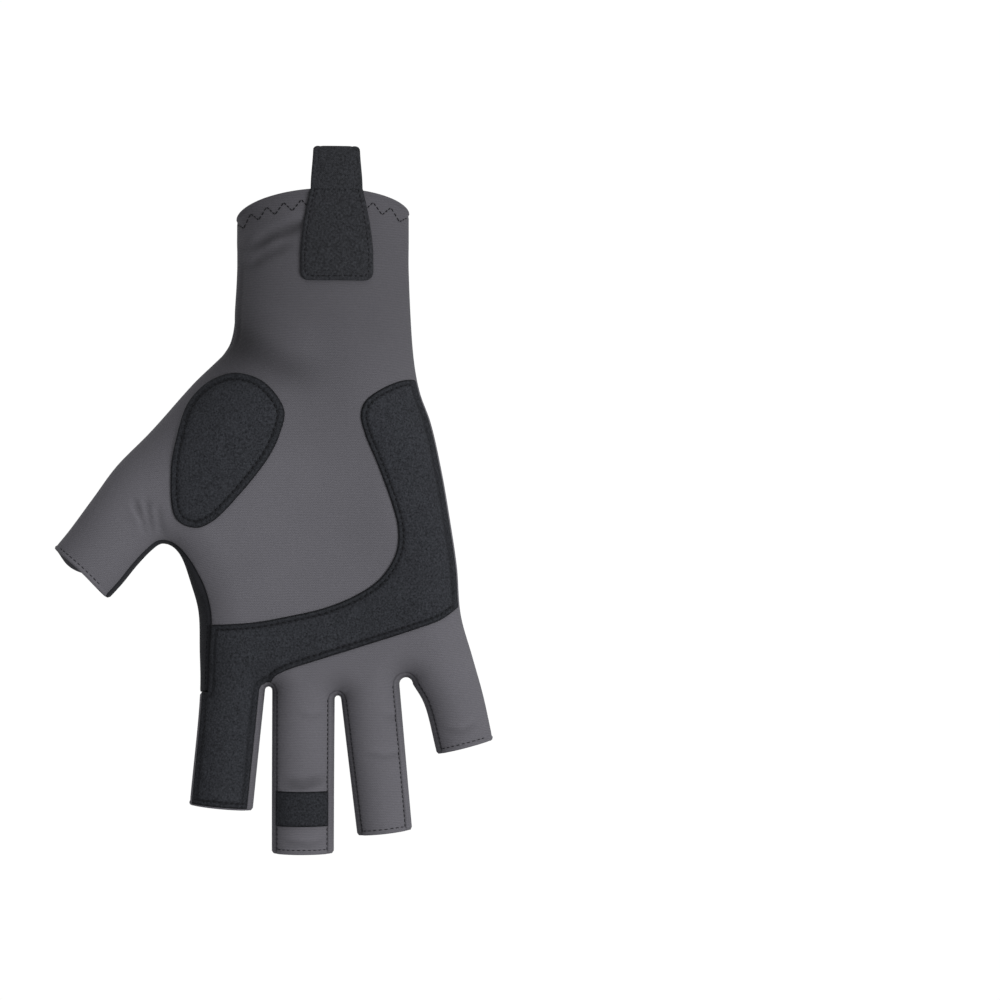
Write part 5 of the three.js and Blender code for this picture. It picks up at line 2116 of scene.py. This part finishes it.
@dataclass
class BackPrint:
    """Plain slanted bars printed down the back of the hand and on the index finger."""

    shop: Workshop
    bar_width: float = 2.9
    slant: float = 0.3
    thickness: float = 0.1
    gap: float = 0.05
    hand_bars: int = 20
    hand_top: tuple[float, float] = (20.5, -45.0)
    hand_run: tuple[float, float] = (10.5, -95.0)
    hand_bend: float = 1.4
    hand_reach: float = 8.4
    finger_bars: int = 7
    finger_top: tuple[float, float] = (-42.0, -173.0)
    finger_step: tuple[float, float] = (-0.4, -4.8)
    finger_reach: float = 5.0
    finger_share: float = 0.8

    def _bar(self, start: np.ndarray, end: np.ndarray, rise: float) -> np.ndarray:
        """A slanted bar's outline between two sides.

        Args:
            start: Its upper left corner.
            end: Its upper right corner.
            rise: Height of the bar, negative downwards.

        Returns:
            The outline.
        """
        corners = np.array([start, end, end + [0, rise], start + [0, rise]])
        closed = np.concatenate([corners, corners[:1]])
        sides = [resample(closed[k : k + 2], 4 if k % 2 else 12)[:-1] for k in range(4)]
        return np.concatenate(sides)

    def build(self) -> bpy.types.Object:
        """Prints the bars as one thin layer.

        Returns:
            The print.
        """
        shop, walls = self.shop, []
        way = np.array([1.0, -self.slant])
        for down in np.arange(self.hand_bars) / (self.hand_bars - 1):
            left = np.array(self.hand_top) + np.array(self.hand_run) * [down**self.hand_bend, down]
            walls.append(self._bar(left, left + way * self.hand_reach, -self.bar_width))
        for k in range(self.finger_bars):
            left = np.array(self.finger_top) + k * np.array(self.finger_step)
            right = left + way * self.finger_reach
            walls.append(self._bar(left, right, -self.bar_width * self.finger_share))
        points, normals, cells, weave = [], [], [], []
        for outline in walls:
            patch = fill_outline(outline, [0.4], 1.0)
            cloth = Cloth.over(shop.form, patch.nodes, Face.BACK, patch.cells)
            first = sum(len(part) for part in points)
            cells += [tuple(first + i for i in cell) for cell in cloth.cells]
            folds = shop.relief[Face.BACK].height(patch.nodes)
            points.append(cloth.points + cloth.normals * folds[:, None])
            normals.append(cloth.normals)
            weave.append(cloth.weave)
        whole = [np.concatenate(parts) for parts in (points, normals, weave)]
        layer = Cloth(whole[0], whole[1], cells, whole[2], np.ones(len(whole[0])))
        heights = (self.gap + 0.01 + self.thickness, self.gap)
        piece = layer.wall("back_print", *(np.full(len(whole[0]), height) for height in heights))
        shop.dress(piece, shop.wardrobe.print, Slot.PRINT)
        return piece


class SoftLight(NamedTuple):
    """A square soft light: its name, its place and width in metres, and its power."""

    name: str
    place: tuple[float, float, float]
    width: float
    power: float


@dataclass
class Studio:
    """The camera, the lights and a white room that glows and lights the glove as well."""

    camera_place: tuple[float, float, float] = (63.72, -1200.0, -105.12)
    lens: float = 120.0
    room_radius: float = 2.6
    floor: float = -0.42
    front_glow: float = 0.42
    rear_glow: float = 1.02
    sensor: float = 36.0
    light_target: tuple[float, float, float] = (0.0, 0.0, -0.1)
    lights: tuple[SoftLight, ...] = (
        SoftLight("key", (0.95, -1.1, -0.35), 0.7, 26.5),
        SoftLight("top", (0.1, -0.9, 1.3), 0.9, 4.0),
    )
    paper_bends: tuple[tuple[float, float], ...] = ((0.0, 0.0), (1.6, 0.0), (2.1, 0.06), (2.4, 0.2))

    def build(self) -> None:
        """Sets up the room, the lights and the camera."""
        self._room()
        for light in self.lights:
            self._light(light)
        data = bpy.data.cameras.new("camera")
        data.lens = self.lens
        data.sensor_width = self.sensor
        data.clip_start, data.clip_end = 0.05, 20.0
        data.dof.use_dof = False
        camera = bpy.data.objects.new("camera", data)
        camera.location = [v * METRES for v in self.camera_place]
        camera.rotation_euler = (math.pi / 2, 0.0, 0.0)
        bpy.context.scene.collection.objects.link(camera)
        bpy.context.scene.camera = camera
        bpy.context.scene.view_settings.view_transform = "Standard"

    def _light(self, plan: SoftLight) -> None:
        """Adds a soft light that faces the glove.

        Args:
            plan: Its name, place, width and power.
        """
        data = bpy.data.lights.new(plan.name, "AREA")
        data.size, data.energy = plan.width, plan.power
        light = bpy.data.objects.new(plan.name, data)
        light.location = plan.place
        way = Vector(self.light_target) - Vector(plan.place)
        light.rotation_euler = way.to_track_quat("-Z", "Y").to_euler()
        light.visible_camera = False
        bpy.context.scene.collection.objects.link(light)

    def _room(self) -> None:
        """Turns a profile round the glove: a floor, a fillet and a dome, all glowing."""
        arc = [
            (self.room_radius * math.cos(a), self.room_radius * math.sin(a))
            for a in np.linspace(0.15, math.pi / 2, 16)
        ]
        profile = [(r, self.floor + rise) for r, rise in (*self.paper_bends, *arc)]
        turns = np.linspace(0.0, math.tau, 49)[:-1]
        vertices = [(r * math.cos(t), r * math.sin(t), z) for r, z in profile for t in turns]
        count = len(turns)
        faces = [
            (k + i, k + count + i, k + count + (i + 1) % count, k + (i + 1) % count)
            for k in range(0, (len(profile) - 1) * count, count)
            for i in range(count)
        ]
        mesh = bpy.data.meshes.new("glowing_room")
        mesh.from_pydata(vertices, [], faces)
        mesh.shade_smooth()
        mesh.materials.append(BackdropFinish("glowing_white_backdrop", self.front_glow, self.rear_glow).material())
        room = bpy.data.objects.new("glowing_room", mesh)
        bpy.context.scene.collection.objects.link(room)


def make_relief(form: HandForm) -> dict[Face, Relief]:
    """Presses the folds and grooves that the cloth shows.

    Args:
        form: The hand's form.

    Returns:
        The relief of each face.
    """
    palm, back = Relief(), Relief()
    # Pulls beside the strap and the bend of the wrist
    palm.add([(-29.5, -18.5), (-18.0, -11.8), (-2.0, -6.0)], 2.0, -1.5, 0.7)
    palm.add([(-29.5, -24.5), (-20.0, -18.5), (-8.0, -13.5)], 1.8, -0.8, 0.8)
    palm.add([(-44.0, -38.0), (-30.0, -49.0), (-14.0, -58.0), (4.0, -64.0)], 6.0, -1.0, 0.4)
    # Gathers at the thumb's crotch
    palm.add([(-61.0, -119.0), (-63.0, -112.0), (-67.0, -103.0)], 1.0, -0.9, 0.6)
    palm.add([(-58.8, -118.5), (-60.5, -111.0), (-62.0, -102.5)], 1.0, -0.8, 0.6)
    palm.add([(-56.0, -119.5), (-57.0, -112.0), (-57.8, -105.5)], 1.0, -0.6, 0.6)
    # Creases at the joints of the fingers
    palm.add([(-17.0, -206.4), (-7.0, -207.4), (4.0, -204.8)], 1.0, -0.9, -0.8)
    palm.add([(-15.5, -226.6), (-4.0, -227.8), (2.5, -226.2)], 1.0, -0.55, 0.6)
    palm.add([(13.0, -195.4), (23.0, -196.6), (31.0, -195.0)], 1.0, -0.5, 0.6)
    palm.add([(41.0, -187.0), (50.0, -187.8), (57.0, -183.8)], 1.1, -0.45, 0.6)
    # Dimples at the roots of the middle and ring fingers
    palm.add([(-10.0, -181.0), (-4.0, -182.6), (2.0, -181.2)], 1.2, -0.3, 0.7)
    palm.add([(20.0, -181.5), (26.0, -183.0), (31.0, -181.0)], 1.2, -0.3, 0.7)
    # The seam allowance that shows through beside the cuff's thumb side
    lengths = form.thumb_rim_length + np.linspace(7, 52, 40)
    side = form.thumb_side.inset(lengths, 2.3)
    palm.add(side, 0.85, -0.75, 0.0)
    # Cuff, little finger's root, middle finger and index finger on the back
    back.add([(29.0, -20.0), (16.0, -13.5), (0.0, -10.0)], 2.0, -0.3, 0.8)
    back.add([(38.0, -172.0), (28.0, -173.0), (14.0, -176.0)], 1.3, -0.35, 0.7)
    back.add([(-16.0, -206.0), (3.5, -207.5)], 1.0, -0.3, 0.7)
    back.add([(-34.0, -196.0), (-49.0, -194.5)], 1.0, -0.3, 0.7)
    return {Face.PALM: palm, Face.BACK: back}


def main() -> None:
    """Builds the glove piece by piece."""
    logging.basicConfig(level=logging.INFO, format="%(message)s")
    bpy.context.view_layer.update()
    form = HandForm()
    shop = Workshop(form, WebSeams(form), make_relief(form), Wardrobe(), StitchMachine())
    Studio().build()
    panels = Panels(shop)
    palm, back = (panels.build(face) for face in Face)
    strips = SideStrips(shop)
    strips.fourchettes()
    strips.gusset()
    patches = SuedePatches(shop)
    patches.palm()
    patches.thenar()
    patches.band()
    PullTab(shop).build()
    shop.declare(palm, panels.palm_cut, *HemStitches(shop).build())
    shop.declare(back, panels.back_cut, BackPrint(shop).build())


if __name__ == "__main__":
    main()
